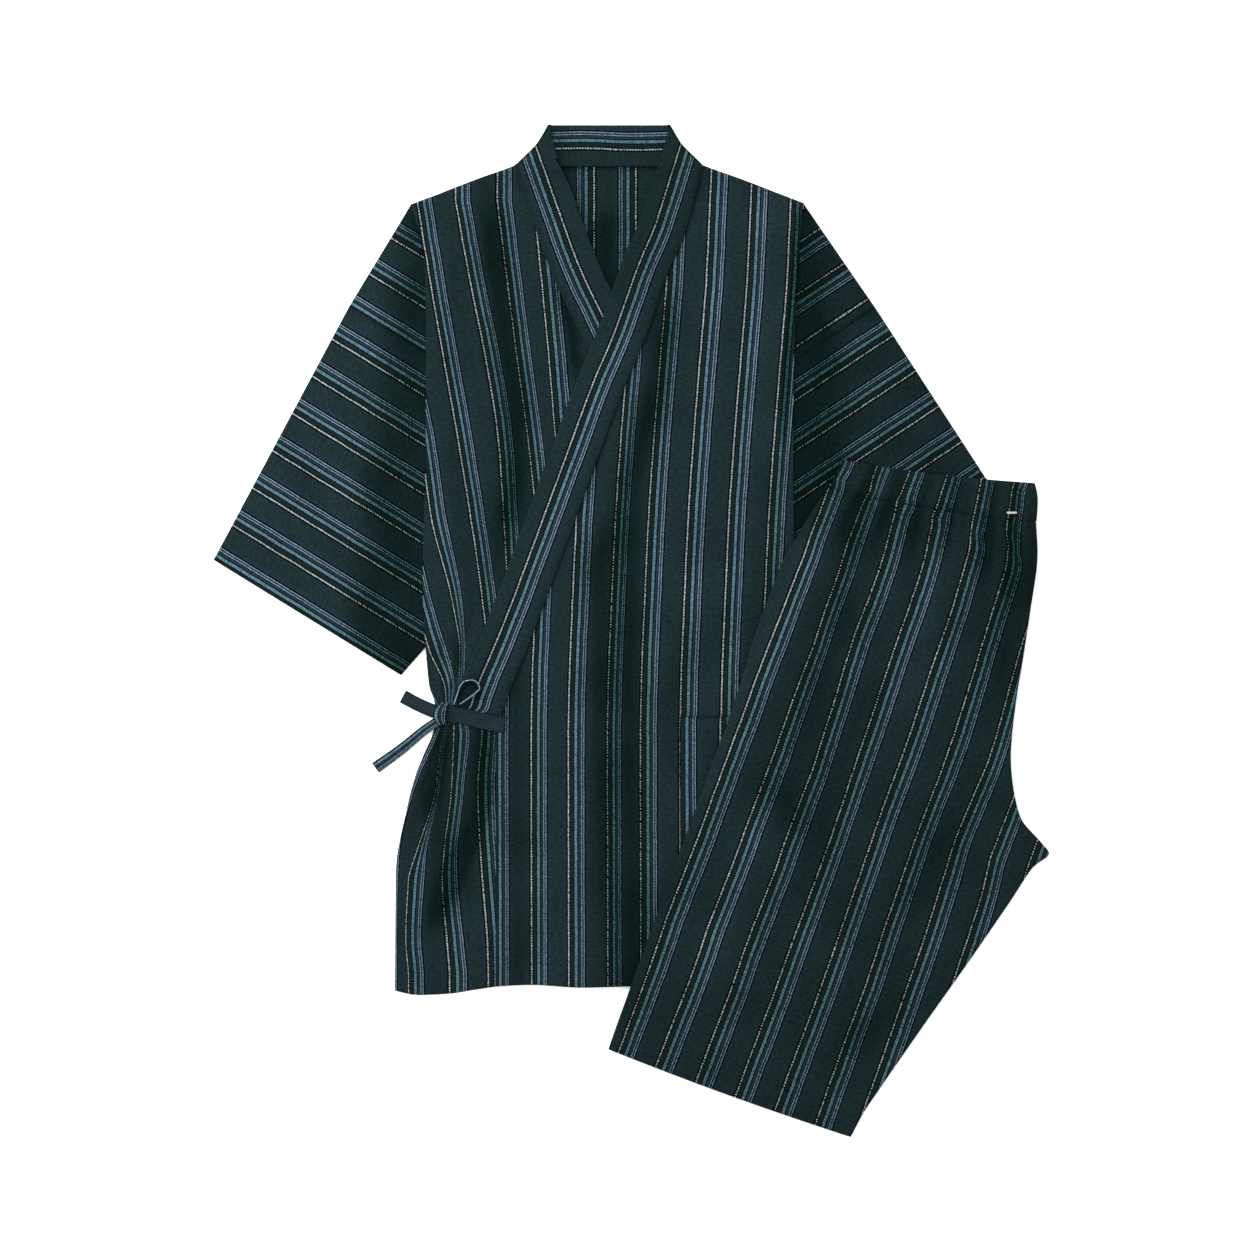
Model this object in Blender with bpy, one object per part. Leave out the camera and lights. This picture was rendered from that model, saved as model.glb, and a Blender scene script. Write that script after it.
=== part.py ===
"""Jinbei set laid out flat: a wrap jacket, front up, with folded trousers laid over its corner.

Every piece of cloth is a thin wall worked out from its sections. The pieces are laid down one
after another, and each one rests on the cloth that is already there.
Sizes below are in millimetres. +X is to the right, +Y points to the collar, +Z is up.
"""

import math

import bmesh
import bpy
import numpy as np

MM = 0.001

# Cloth
WALL = 1.2              # one layer
BAND = 2.4              # a folded band of two layers
RIBBON = 1.6            # a tie, folded and sewn flat
LAYER_GAP = 0.4         # air between one piece and the next
SEAM_GAP = 1.0          # between two pieces that meet edge to edge
TUCK = 9.0              # front that runs on under the collar band
TUCK_END = -515.0       # row where the band ends
TUCK_FADE = 20.0

# Raster on which the laid heights are kept
CELL = 2.5
RASTER_HALF = (430.0, 500.0)

# Where the two garments lie
JACKET_NECK = (-20.4, 431.6)      # middle of the back neck seam
TROUSER_HIP = (184.0, 134.8)      # top of the side fold, under the waistband
TROUSER_TURN = 21.3               # degrees that the leg swings out from the jacket's length

# Jacket, seen from above, x from its middle and y up from the neck seam
SHOULDER = {                      # fall of the shoulder line from the neck outwards
    "x": (88, 120, 186),
    "fall": (0, 11, 37),
}
SHOULDER_FADE = 250.0             # length over which the cross rows come level again
HEM = {                           # height of the fronts' hem, which dips at the right side
    "x": (-200, -178, -151, -124, -98, -73, -26, 19, 110, 200),
    "y": (-767, -771, -770, -766, -762.5, -761.5, -764, -763, -762, -766),
}
HEM_ROW = -764.0
HEM_FADE = 160.0                  # length above the hem over which its bow comes in
BACK_HEM_RISE = 3.0
BACK_SIDE_INSET = 3.0

# Side fold of the body on each side
RIGHT_SIDE = {
    "y": (-36, -75, -115, -255, -385, -450, -484, -499, -514, -529, -545, -571, -599, -655, -766),
    "x": (-184, -174, -170, -170, -173, -170, -167, -162, -161, -164, -171, -181, -188, -198, -199),
}
LEFT_SIDE = {
    "y": (-36, -75, -115, -218, -292, -400, -497, -600, -766),
    "x": (181, 177, 174, 171, 171, 174, 178, 185, 198),
}

# Seam between front and collar band, from the neck to the tie, then the straight front edge
RIGHT_FRONT_SEAM = {
    "y": (0, -61, -104, -166, -213, -286, -442, -508, -530, -766),
    "x": (-88, -67, -51, -22, -4, 22, 79, 101, 102, 100),
}
LEFT_FRONT_SEAM = {
    "y": (0, -60, -101, -168, -213, -286, -442, -500, -507, -514, -766),
    "x": (87, 71, 54, 30, 11, -16, -77, -97.5, -98, -104.5, -105),
}
FRONT_ROWS = (0, -18, -40, -68, -100, -135, -170, -210, -255, -300, -345, -390, -425, -455, -480,
              -502, -524, -548, -575, -610, -655, -710, -764)

# Collar band
COLLAR_TOP = 38.5                 # height of the band behind the neck
COLLAR_SIDE = {                   # fold from the top corner down to the shoulder
    "y": (0, 10, 21, 38.5),
    "x": (87, 77.5, 67, 56.5),
}
NECK_BAND = {                     # width of the band where it turns out of the corner
    "y": (-40, 0, 14, 27, 38.5),
    "width": (43, 38, 23, 12, 4),
}
CORNER_RUN = (-0.38, -0.92)       # way the band runs down out of its left corner
CORNER_PULL = 2.0                 # how strongly its ends keep square to that
RIGHT_BAND_ROWS = (38.5, 33, 27, 14, 0, -20, -40, -61, -82, -104, -135, -166, -190, -213, -250,
                   -286, -338, -390, -442, -475, -508)
LEFT_BAND_ROWS = (38.5, 33, 27, 14, 0, -20, -40, -60, -80, -101, -135, -168, -213, -250, -286,
                  -338, -390, -442, -475, -507)

# Sleeves: points on the upper fold, and the direction of the cuff
RIGHT_SLEEVE = {
    "shoulder": (-185, -37), "seam": (-242, -131), "cuff": (-368, -366.5),
    "cuff_turn": 31.6, "depth": 204.0, "flare": 0.23, "hidden_x": -150.0,
}
LEFT_SLEEVE = {
    "shoulder": (184, -39.5), "seam": (248, -132.5), "cuff": (389.5, -350.5),
    "cuff_turn": 33.6, "depth": 204.0, "flare": 0.23, "hidden_x": 152.0,
}
SLEEVE_HOLLOW = 1.6               # air between the sleeve's two layers
SLEEVE_EDGE_AIR = 0.5
SLEEVE_FLATNESS = 1.6             # how soon that air is reached from each edge

# Pocket on the left front
POCKET = {"left": 66.0, "right": 170.0, "top": -512.0, "bottom": -664.0}

# Bow at the wearer's right side
TIE_KNOT = (-156.0, -509.5)
KNOT_SIZE = (13.0, 23.0)
KNOT_RISE = 2.4
KNOT_PINCH = 0.35                 # how much narrower its two ends are
KNOT_SLANT = 0.25
STRAP_ROUTE = {"x": (-153, -137, -118, -97.5), "y": (-509, -511.5, -516.5, -520)}
STRAP_WIDTH = 14.0
UPPER_END_ROUTE = {"x": (-154, -164, -178, -192), "y": (-510, -507, -501, -493.5)}
UPPER_END_WIDTH = 12.0
LOWER_END_ROUTE = {"x": (-153, -168, -194, -217.5), "y": (-513, -522, -543, -560)}
LOWER_END_WIDTH = 10.5
LOWER_END_TAPER = 0.25
LOOP_ROUTE = {
    "x": (-144.5, -141, -138.5, -134, -127, -121.5, -119.5, -123, -131, -138),
    "y": (-500.5, -490, -483, -478.5, -477.5, -480.5, -486, -490, -496, -500.8),
}
LOOP_HEIGHT = 7.0
LOOP_LEAN = 3.6                   # how far the loop's lower edge lies inside its upper edge
LOOP_WALL = 1.1
LOOP_FLATNESS = 1.4               # how soon that lean is reached from each end
LOOP_STATIONS = 22
TIE_FOLDS = {                     # folds of the under front, as a fan round the knot
    "above": 4, "below": 5, "height": 2.8, "offset": 4.0, "lean": 0.12, "spread": 0.62,
    "soft_side": 0.2, "start": 6.0, "rise": 26.0, "end": 150.0, "fade": 110.0,
}

# Trousers in their own frame: across from the side fold, and down the leg from the hip
LEG_ROWS = {
    "outer_across": (1, -5, -9, -14, -14, -12, -10, -9, -8, -7.5, -7, -7, -6, -5, -3.5, -2, -1, 0),
    "outer_down": (4, 26, 50, 88, 130, 172, 192, 210, 226, 238, 250, 264, 300, 366, 430, 501, 535,
                   563.3),
    "inner_across": (191.5, 205, 217, 226.5, 236, 248.5, 257.5, 268, 281, 304, 315.3, 306, 297.5, 282,
                     266, 249, 241.5, 239),
    "inner_down": (-37, -6, 42, 84, 128, 172, 192, 210, 226, 238, 246, 262, 300, 366, 430, 501,
                   535, 557.4),
}
WAIST_ROWS = {
    "outer_across": (4, 3, 2, 1),
    "outer_down": (-25, -16, -7, 4),
    "inner_across": (178, 184.5, 188.5, 191.5),
    "inner_down": (-70, -59, -48, -37),
}
WAIST_SAG = 3.0                   # how far the waist edge and its stitching dip in the middle
WAIST_SAG_FADE = 90.0
HEM_BULGE = 2.0                   # how far the leg's hem bows out, and from which row
HEM_BULGE_START = 500.0
HEM_BULGE_FADE = 60.0
GATHERS = 9
GATHER_COLUMNS = 4
GATHER_HEIGHT = 1.6
GATHER_FADE = 75.0                # length of a gather down the leg
GATHER_DRIFT = {"amount": 0.35, "waves": 2.3, "start": 0.8}
GATHER_STRENGTH = {"middle": 0.75, "swing": 0.25, "waves": 3.7}
BAND_GATHER = 0.8                 # height of the waistband's gathers beside the leg's
UNDER_MIDDLE = (110.0, 250.0)     # point that the hidden layers are drawn in towards
UNDER_INSET = 3.0
UNDER_DROP = 5.0                  # how far they stay below the waistband's top edge
UNDER_LAYERS = 3
UNDER_COLUMNS = 13
UNDER_AIR = 0.2                   # air in each of them
UNDER_STEP = 0.4                  # how far each edge stands back from the one above
UNDER_GROOVE = 0.5                # depth between two edges
FRONT_MARK = {"across": 166.0, "down": -37.5, "length": 8.0, "width": 2.4, "rise": 0.8}

# Columns across a piece, as shares of its width
BAND_SHARES = (0.0, 0.06, 0.35, 0.68, 0.94, 1.0)
TUBE_SHARES = (0.0, 0.02, 0.07, 0.16, 0.3, 0.45, 0.6, 0.74, 0.86, 0.94, 0.985, 1.0)
RIBBON_SHARES = (-1.0, -0.88, 0.0, 0.88, 1.0)
EDGE_CROWDING = 0.09
SIDE_CROWDING = 1.7               # power that gathers the under front's columns at its side

# Rim of a wall: share of its height, and how far it stands out there
SOFT_RIM = ((0.5, 0.3),)
FOLD_RIM = ((0.78, 0.5), (0.22, 0.5))

SHARP_EDGE = 50.0                 # degrees

FINISHES = {
    "navy_stripe_cloth": ((0.018, 0.030, 0.036, 1.0), 0.88),
    "navy_plain_cloth": ((0.022, 0.034, 0.036, 1.0), 0.9),
    "white_thread": ((0.75, 0.76, 0.74, 1.0), 0.7),
}


def smooth(known, values, at):
    """Cubic curve through a table's points that never overshoots them."""
    known = np.asarray(known, float)
    values = np.asarray(values, float)
    if known[0] > known[-1]:
        known, values = known[::-1], values[::-1]
    slope = np.diff(values) / np.diff(known)
    tangent = np.empty_like(values)
    tangent[0], tangent[-1] = slope[0], slope[-1]
    before, after = slope[:-1], slope[1:]
    same_way = before * after > 0
    total = np.where(same_way, before + after, 1.0)
    tangent[1:-1] = np.where(same_way, 2.0 * before * after / total, 0.0)
    at = np.clip(np.asarray(at, float), known[0], known[-1])
    cell = np.clip(np.searchsorted(known, at) - 1, 0, len(known) - 2)
    width = known[cell + 1] - known[cell]
    t = (at - known[cell]) / width
    start, end = values[cell], values[cell + 1]
    rise, fall = tangent[cell] * width, tangent[cell + 1] * width
    bend = 2.0 * (start - end) + rise + fall
    return start + t * (rise + t * (end - start - rise - bend + t * bend))


def ease(t):
    """Smooth step from 0 to 1."""
    t = np.clip(t, 0.0, 1.0)
    return t * t * (3.0 - 2.0 * t)


def unit(vectors):
    """Vectors of length 1."""
    return vectors / np.linalg.norm(vectors, axis=-1, keepdims=True)


def spread(raster, reach):
    """Highest value within reach cells, along both axes."""
    for axis in (0, 1):
        shifts = [np.roll(raster, step, axis=axis) for step in range(-reach, reach + 1)]
        raster = np.maximum.reduce(shifts)
    return raster


def blur(raster, reach):
    """Mean value within reach cells, along both axes."""
    for axis in (0, 1):
        shifts = [np.roll(raster, step, axis=axis) for step in range(-reach, reach + 1)]
        raster = sum(shifts) / len(shifts)
    return raster


class Pile:
    """The height of the cloth laid so far, over a raster of square cells."""

    def __init__(self):
        size = [int(2 * half / CELL) for half in RASTER_HALF]
        self.heights = np.full((size[1], size[0]), -LAYER_GAP)
        self.fresh = self.heights.copy()

    def cells(self, plan):
        column = ((plan[..., 0] + RASTER_HALF[0]) / CELL).astype(int)
        row = ((plan[..., 1] + RASTER_HALF[1]) / CELL).astype(int)
        return row, column

    def read(self, raster, plan):
        """Value of a raster at each point, blended between the four nearest cells."""
        u = (plan[..., 0] + RASTER_HALF[0]) / CELL - 0.5
        v = (plan[..., 1] + RASTER_HALF[1]) / CELL - 0.5
        column, row = np.floor(u).astype(int), np.floor(v).astype(int)
        fu, fv = u - column, v - row
        low = raster[row, column] * (1 - fu) + raster[row, column + 1] * fu
        high = raster[row + 1, column] * (1 - fu) + raster[row + 1, column + 1] * fu
        return low * (1 - fv) + high * fv

    def rest(self, plan, soft, margin=1):
        """Underside of a sheet that bridges steps over about soft cells."""
        bed = blur(spread(self.heights, soft + margin), soft) if soft else self.heights
        low = self.read(bed, plan) + LAYER_GAP
        return self.lift_clear(plan, low, margin)

    def lift_clear(self, plan, low, margin):
        """Raise the corners of every face that would still touch the cloth below."""
        hard = spread(self.heights, margin)
        points = face_samples(plan)
        below = hard[self.cells(points)] + LAYER_GAP
        for strength in (0.5, 0.5, 0.5, 0.5, 1.0, 1.0):
            short = np.maximum((below - face_samples(low)).max(axis=(2, 3)), 0.0)
            need = np.zeros_like(low)
            for i, j in ((0, 0), (0, 1), (1, 0), (1, 1)):
                corners = need[i:i + short.shape[0], j:j + short.shape[1]]
                np.maximum(corners, short, out=corners)
            low = low + strength * need
        return low

    def add(self, plan, high):
        """Record a sheet's top, for the pieces that are laid after the next settle."""
        row, column = self.cells(face_samples(plan))
        np.maximum.at(self.fresh, (row, column), face_samples(high))

    def settle(self):
        """Let the pieces laid so far carry the next one."""
        self.heights = self.fresh.copy()


def face_samples(grid, steps=12):
    """Evenly spaced points inside every face of a grid, as [row, column, step, step]."""
    t = (np.arange(steps) + 0.5) / steps
    t = np.concatenate(([0.0], t, [1.0]))
    u = t[None, None, None, :]
    v = t[None, None, :, None]
    if grid.ndim == 3:
        u, v = u[..., None], v[..., None]
        grid = grid[:, :, None, None, :]
    else:
        grid = grid[:, :, None, None]
    top = grid[:-1, :-1] * (1 - u) + grid[:-1, 1:] * u
    bottom = grid[1:, :-1] * (1 - u) + grid[1:, 1:] * u
    return top * (1 - v) + bottom * v


def on_jacket(x, y):
    """Plan points of the jacket, from its own frame."""
    return np.stack(np.broadcast_arrays(x + JACKET_NECK[0], y + JACKET_NECK[1]), axis=-1)


def on_trousers(across, down):
    """Plan points of the trousers, from their own frame."""
    turn = math.radians(TROUSER_TURN)
    x = TROUSER_HIP[0] + across * math.cos(turn) - down * math.sin(turn)
    y = TROUSER_HIP[1] - across * math.sin(turn) - down * math.cos(turn)
    return np.stack(np.broadcast_arrays(x, y), axis=-1)


def make_material(name):
    """Plain finish of one kind of cloth."""
    colour, roughness = FINISHES[name]
    material = bpy.data.materials.new(name)
    material.use_nodes = True
    shader = material.node_tree.nodes["Principled BSDF"]
    shader.inputs["Base Color"].default_value = colour
    shader.inputs["Roughness"].default_value = roughness
    shader.inputs["Metallic"].default_value = 0.0
    material.diffuse_color = colour
    return material


class Workshop:
    """Builds the pieces and lays each one on the pile."""

    def __init__(self):
        self.pile = Pile()
        self.collection = bpy.data.collections.new("jinbei_set")
        bpy.context.scene.collection.children.link(self.collection)
        self.materials = {name: make_material(name) for name in FINISHES}

    def add_object(self, name, points, faces, finish):
        """One closed wall as an object of its own."""
        mesh = bpy.data.meshes.new(name)
        mesh.from_pydata([tuple(point * MM) for point in points], [], faces)
        shape = bmesh.new()
        shape.from_mesh(mesh)
        bmesh.ops.recalc_face_normals(shape, faces=shape.faces)
        shape.to_mesh(mesh)
        shape.free()
        mesh.shade_smooth()
        mesh.set_sharp_from_angle(angle=math.radians(SHARP_EDGE))
        mesh.materials.append(self.materials[finish])
        self.collection.objects.link(bpy.data.objects.new(name, mesh))

    def lay_sheet(self, name, plan, thickness=WALL, fold=0.0, soft=3, margin=1, rim=SOFT_RIM,
                  crown=0.0, finish="navy_stripe_cloth", beside=False):
        """Lay a closed wall on the pile, or beside the last piece, which then doesn't carry it."""
        if not beside:
            self.pile.settle()
        low = self.pile.rest(plan, soft, margin) + fold
        high = low + thickness + crown
        self.pile.add(plan, high)
        self.build_sheet(name, plan, low, high, rim, finish)

    def build_sheet(self, name, plan, low, high, rim, finish):
        """Close the wall between two heights over a grid, with a shaped rim all round."""
        rows, columns = high.shape
        count = rows * columns
        top = np.dstack((plan, high)).reshape(count, 3)
        bottom = np.dstack((plan, low)).reshape(count, 3)
        index = np.arange(count).reshape(rows, columns)
        loop = boundary(index)
        outward = edge_normals(top[loop, :2])
        blocks, rings = [top], [loop]
        for share, stand_out in rim:
            ring = bottom[loop] + share * (top[loop] - bottom[loop])
            ring[:, :2] += stand_out * outward
            rings.append(np.arange(len(loop)) + sum(len(block) for block in blocks))
            blocks.append(ring)
        offset = sum(len(block) for block in blocks)
        blocks.append(bottom)
        rings.append(loop + offset)
        faces = grid_faces(index) + grid_faces((index + offset)[:, ::-1])
        for upper, lower in zip(rings, rings[1:]):
            faces += strip_faces(upper, lower)
        self.add_object(name, np.vstack(blocks), faces, finish)

    def lay_tube(self, name, fold_edge, across, depth, finish="navy_stripe_cloth"):
        """Lay a flattened tube, open at both ends, beside the last piece."""
        share = np.array(TUBE_SHARES)
        plan = fold_edge[:, None, :] + across * (share[None, :, None] * depth[:, None, None])
        plan = on_jacket(plan[..., 0], plan[..., 1])
        low = self.pile.rest(plan, 2)
        swell = ease(np.sin(math.pi * share) * SLEEVE_FLATNESS)
        air = SLEEVE_EDGE_AIR + SLEEVE_HOLLOW * swell
        high = low + 2 * WALL + air[None, :]
        self.pile.add(plan, high)
        inset = np.clip(share * depth[:, None], WALL, depth[:, None] - WALL)
        inner = fold_edge[:, None, :] + across * inset[..., None]
        inner = on_jacket(inner[..., 0], inner[..., 1])
        outer_ring = ring_of(plan, low, high, across * WALL * 0.5)
        inner_ring = ring_of(inner, low + WALL, high - WALL, across * WALL * 0.25)
        rows, around = outer_ring.shape[:2]
        outside = np.arange(rows * around).reshape(rows, around)
        inside = outside + rows * around
        faces = wrap_faces(outside) + wrap_faces(inside[::-1])
        faces += strip_faces(outside[0][::-1], inside[0][::-1])
        faces += strip_faces(outside[-1], inside[-1])
        points = np.vstack((outer_ring.reshape(-1, 3), inner_ring.reshape(-1, 3)))
        self.add_object(name, points, faces, finish)


def ring_of(plan, low, high, bulge):
    """Rings round a flat tube: over the top, the far edge, back below, and the near edge."""
    top = np.dstack((plan, high))
    bottom = np.dstack((plan, low))[:, ::-1]
    far = 0.5 * (top[:, -1:] + bottom[:, :1])
    near = 0.5 * (top[:, :1] + bottom[:, -1:])
    far[..., :2] += bulge
    near[..., :2] -= bulge
    return np.concatenate((top, far, bottom, near), axis=1)


def boundary(index):
    """Vertex numbers round the edge of a grid, once."""
    return np.concatenate((index[0, :-1], index[:-1, -1], index[-1, :0:-1], index[:0:-1, 0]))


def edge_normals(points):
    """Unit normals in plan that point out of a closed outline."""
    ahead = np.roll(points, -1, axis=0) - np.roll(points, 1, axis=0)
    normals = np.stack((ahead[:, 1], -ahead[:, 0]), axis=-1)
    normals = unit(normals)
    following = np.roll(points, -1, axis=0)
    area = np.sum(points[:, 0] * following[:, 1] - following[:, 0] * points[:, 1])
    return normals if area > 0 else -normals


def grid_faces(index):
    """Quads over a grid of vertex numbers."""
    rows, columns = index.shape
    return [(index[i, j], index[i, j + 1], index[i + 1, j + 1], index[i + 1, j])
            for i in range(rows - 1) for j in range(columns - 1)]


def wrap_faces(index):
    """Quads over rings of vertex numbers, closed round."""
    return grid_faces(np.hstack((index, index[:, :1])))


def strip_faces(upper, lower):
    """Quads between two closed loops of the same length."""
    return wrap_faces(np.vstack((upper, lower)))


def row_height(x, rows):
    """Height of each point of the jacket's cross rows, which follow the shoulders and the hem."""
    shoulder = smooth(SHOULDER["x"], SHOULDER["fall"], np.abs(x))
    bow = smooth(HEM["x"], HEM["y"], x) - HEM_ROW
    rows = rows[:, None]
    return rows - shoulder * np.maximum(1.0 + rows / SHOULDER_FADE, 0.0) + bow * ease(
        (HEM_ROW + HEM_FADE - rows) / HEM_FADE)


def side_edge(side, rows):
    """Side fold of the body at each cross row's outer end."""
    fall = SHOULDER["fall"][-1] * np.maximum(1.0 + rows / SHOULDER_FADE, 0.0)
    return smooth(side["y"], side["x"], rows - fall)


def lay_back(shop):
    """Back panel on the surface, under everything, with its shoulders and neck edge."""
    rows = np.array(FRONT_ROWS[::2], float)
    right = side_edge(RIGHT_SIDE, rows) + BACK_SIDE_INSET
    left = side_edge(LEFT_SIDE, rows) - BACK_SIDE_INSET
    share = np.linspace(0.0, 1.0, 17)
    x = right[:, None] + (left - right)[:, None] * share
    y = row_height(x, rows) + BACK_HEM_RISE * (rows / HEM_ROW)[:, None]
    shop.lay_sheet("back", on_jacket(x, y), soft=0)


def front_plan(seam, side, share):
    """Plan of a front, from under its collar band out to its side fold."""
    rows = np.array(FRONT_ROWS, float)
    inner = smooth(seam["y"], seam["x"], rows)
    outer = side_edge(side, rows)
    under_band = TUCK * ease((rows - TUCK_END) / TUCK_FADE)
    inner = inner - np.sign(outer - inner) * under_band
    x = inner[:, None] + (outer - inner)[:, None] * share
    return x, row_height(x, rows)


def ease_ends(share):
    """Crowd the first and last columns a little, so that rims stay crisp."""
    return share - EDGE_CROWDING * np.sin(2 * math.pi * share) / math.pi


def tie_folds(x, y):
    """Folds of the under front that run out from the knot, up and down."""
    fan = TIE_FOLDS
    dx, dy = x - TIE_KNOT[0] - fan["offset"], y - TIE_KNOT[1]
    distance = np.hypot(dx, dy)
    angle = np.arctan2(dx - fan["lean"] * distance, np.abs(dy) + 1.0)
    count = np.where(dy > 0, fan["above"], fan["below"])
    ridge = 0.5 + 0.5 * np.cos(math.pi * count * angle / fan["spread"])
    within = ease((fan["spread"] - np.abs(angle)) / fan["soft_side"])
    start = ease((distance - fan["start"]) / fan["rise"])
    end = ease((fan["end"] - distance) / fan["fade"])
    return fan["height"] * ridge * within * start * end


def lay_right_front(shop):
    """Under front, gathered at the tie."""
    share = 1.0 - np.linspace(1.0, 0.0, 23) ** SIDE_CROWDING
    x, y = front_plan(RIGHT_FRONT_SEAM, RIGHT_SIDE, share)
    shop.lay_sheet("right_front", on_jacket(x, y), fold=tie_folds(x, y), rim=FOLD_RIM)


def lay_left_front(shop):
    """Top front, and the patch pocket on it."""
    x, y = front_plan(LEFT_FRONT_SEAM, LEFT_SIDE, ease_ends(np.linspace(0.0, 1.0, 17)))
    shop.lay_sheet("left_front", on_jacket(x, y), soft=5, rim=FOLD_RIM)
    across = np.linspace(POCKET["left"], POCKET["right"], 7)
    down = np.linspace(POCKET["top"], POCKET["bottom"], 8)
    x, y = np.meshgrid(across, down)
    shop.lay_sheet("pocket", on_jacket(x, y), soft=2)


def band_plan(side_sign, seam, rows):
    """Plan of a collar band from the top corner down along its seam."""
    rows = np.array(rows, float)
    corner = smooth(COLLAR_SIDE["y"], COLLAR_SIDE["x"], np.maximum(rows, 0.0)) * side_sign
    lower = smooth(seam["y"], seam["x"], np.minimum(rows, 0.0))
    outer = np.stack((np.where(rows > 0, corner, lower), rows), axis=-1)
    run = unit(np.gradient(outer, axis=0))
    run[rows >= 0] += CORNER_PULL * np.array((CORNER_RUN[0] * side_sign, CORNER_RUN[1]))
    run = unit(run)
    inward = np.stack((run[:, 1], -run[:, 0]), axis=-1) * side_sign
    width = smooth(NECK_BAND["y"], NECK_BAND["width"], rows)
    share = np.array(BAND_SHARES)
    return outer[:, None, :] + inward[:, None, :] * (share[None, :, None] * width[:, None, None])


def lay_collar_back(shop):
    """Band behind the neck, seen on its inside."""
    heights = np.array((0.5, 13.0, 26.0, COLLAR_TOP))
    half = smooth(COLLAR_SIDE["y"], COLLAR_SIDE["x"], heights) - 2.0
    x = half[:, None] * np.linspace(-1.0, 1.0, 11)
    shop.lay_sheet("collar_back", on_jacket(x, heights[:, None]), BAND, soft=0)


def lay_sleeve(shop, side, sleeve):
    """Dropped shoulder and sleeve, two flat tubes that meet at the armhole seam."""
    shoulder, seam, cuff = (np.array(sleeve[key], float) for key in ("shoulder", "seam", "cuff"))
    turn = math.radians(sleeve["cuff_turn"])
    across = np.array((-math.copysign(math.cos(turn), shoulder[0]), -math.sin(turn)))
    runs = (("front_shoulder", shoulder, seam, 5), ("sleeve", seam, cuff, 11))
    for name, start, end, count in runs:
        step = (end - start) / np.linalg.norm(end - start)
        first = start if name == "front_shoulder" else start + 0.5 * SEAM_GAP * step
        last = end if name == "sleeve" else end - 0.5 * SEAM_GAP * step
        fold_edge = first + (last - first) * np.linspace(0.0, 1.0, count)[:, None]
        from_cuff = np.linalg.norm(cuff - fold_edge, axis=1)
        full = sleeve["depth"] + sleeve["flare"] * from_cuff
        hidden = (sleeve["hidden_x"] - fold_edge[:, 0]) / across[0]
        shop.lay_tube(f"{side}_{name}", fold_edge, across, np.minimum(full, hidden))


def follow(route, count):
    """Evenly spaced points of a smooth line through a table's points, with how far along each is."""
    points = np.stack((np.array(route["x"], float), np.array(route["y"], float)), axis=-1)
    travelled = np.concatenate(([0.0], np.cumsum(np.linalg.norm(np.diff(points, axis=0), axis=1))))
    at = np.linspace(0.0, travelled[-1], count)
    line = np.stack([smooth(travelled, points[:, k], at) for k in (0, 1)], axis=-1)
    return line, at / at[-1]


def route_plan(route, width, count, taper=0.0):
    """Plan of a ribbon along a route, narrower at its start by a share of its width."""
    line, share = follow(route, count)
    run = unit(np.gradient(line, axis=0))
    side = np.stack((-run[:, 1], run[:, 0]), axis=-1)
    half = 0.5 * width * (1.0 - taper * (1.0 - share))
    across = np.array(RIBBON_SHARES)
    return line[:, None, :] + side[:, None, :] * (half[:, None] * across)[..., None]


def lay_ribbon(shop, name, route, width, count, finish, taper=0.0):
    """Lay one flat tie on the pile."""
    plan = route_plan(route, width, count, taper)
    shop.lay_sheet(name, on_jacket(plan[..., 0], plan[..., 1]), RIBBON, soft=1, margin=0,
                   finish=finish)


def build_loop(shop):
    """Loop of the bow: a ribbon that stands on its edge and leans outwards."""
    line, share = follow(LOOP_ROUTE, LOOP_STATIONS)
    run = unit(np.gradient(line, axis=0))
    inward = np.stack((run[:, 1], -run[:, 0]), axis=-1)
    lean = (LOOP_LEAN * ease(np.sin(math.pi * share) * LOOP_FLATNESS))[:, None]
    foot_plan = on_jacket(*(line + inward * (lean + LOOP_WALL)).T)
    around = np.stack((on_jacket(*line.T), foot_plan), axis=1)
    foot = shop.pile.rest(around, 1).max(axis=1)
    low_wall = np.stack((line + inward * lean, line + inward * (lean + LOOP_WALL)), axis=1)
    high_wall = np.stack((line, line + inward * LOOP_WALL), axis=1)
    section = np.concatenate((low_wall, high_wall[:, ::-1]), axis=1)
    plan = on_jacket(section[..., 0], section[..., 1])
    height = foot[:, None] + np.array((0.0, 0.0, LOOP_HEIGHT, LOOP_HEIGHT))
    rings = np.dstack((plan, height))
    index = np.arange(rings.shape[0] * 4).reshape(-1, 4)
    faces = wrap_faces(index) + [tuple(index[0][::-1]), tuple(index[-1])]
    shop.add_object("tie_loop", rings.reshape(-1, 3), faces, "navy_stripe_cloth")


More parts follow.
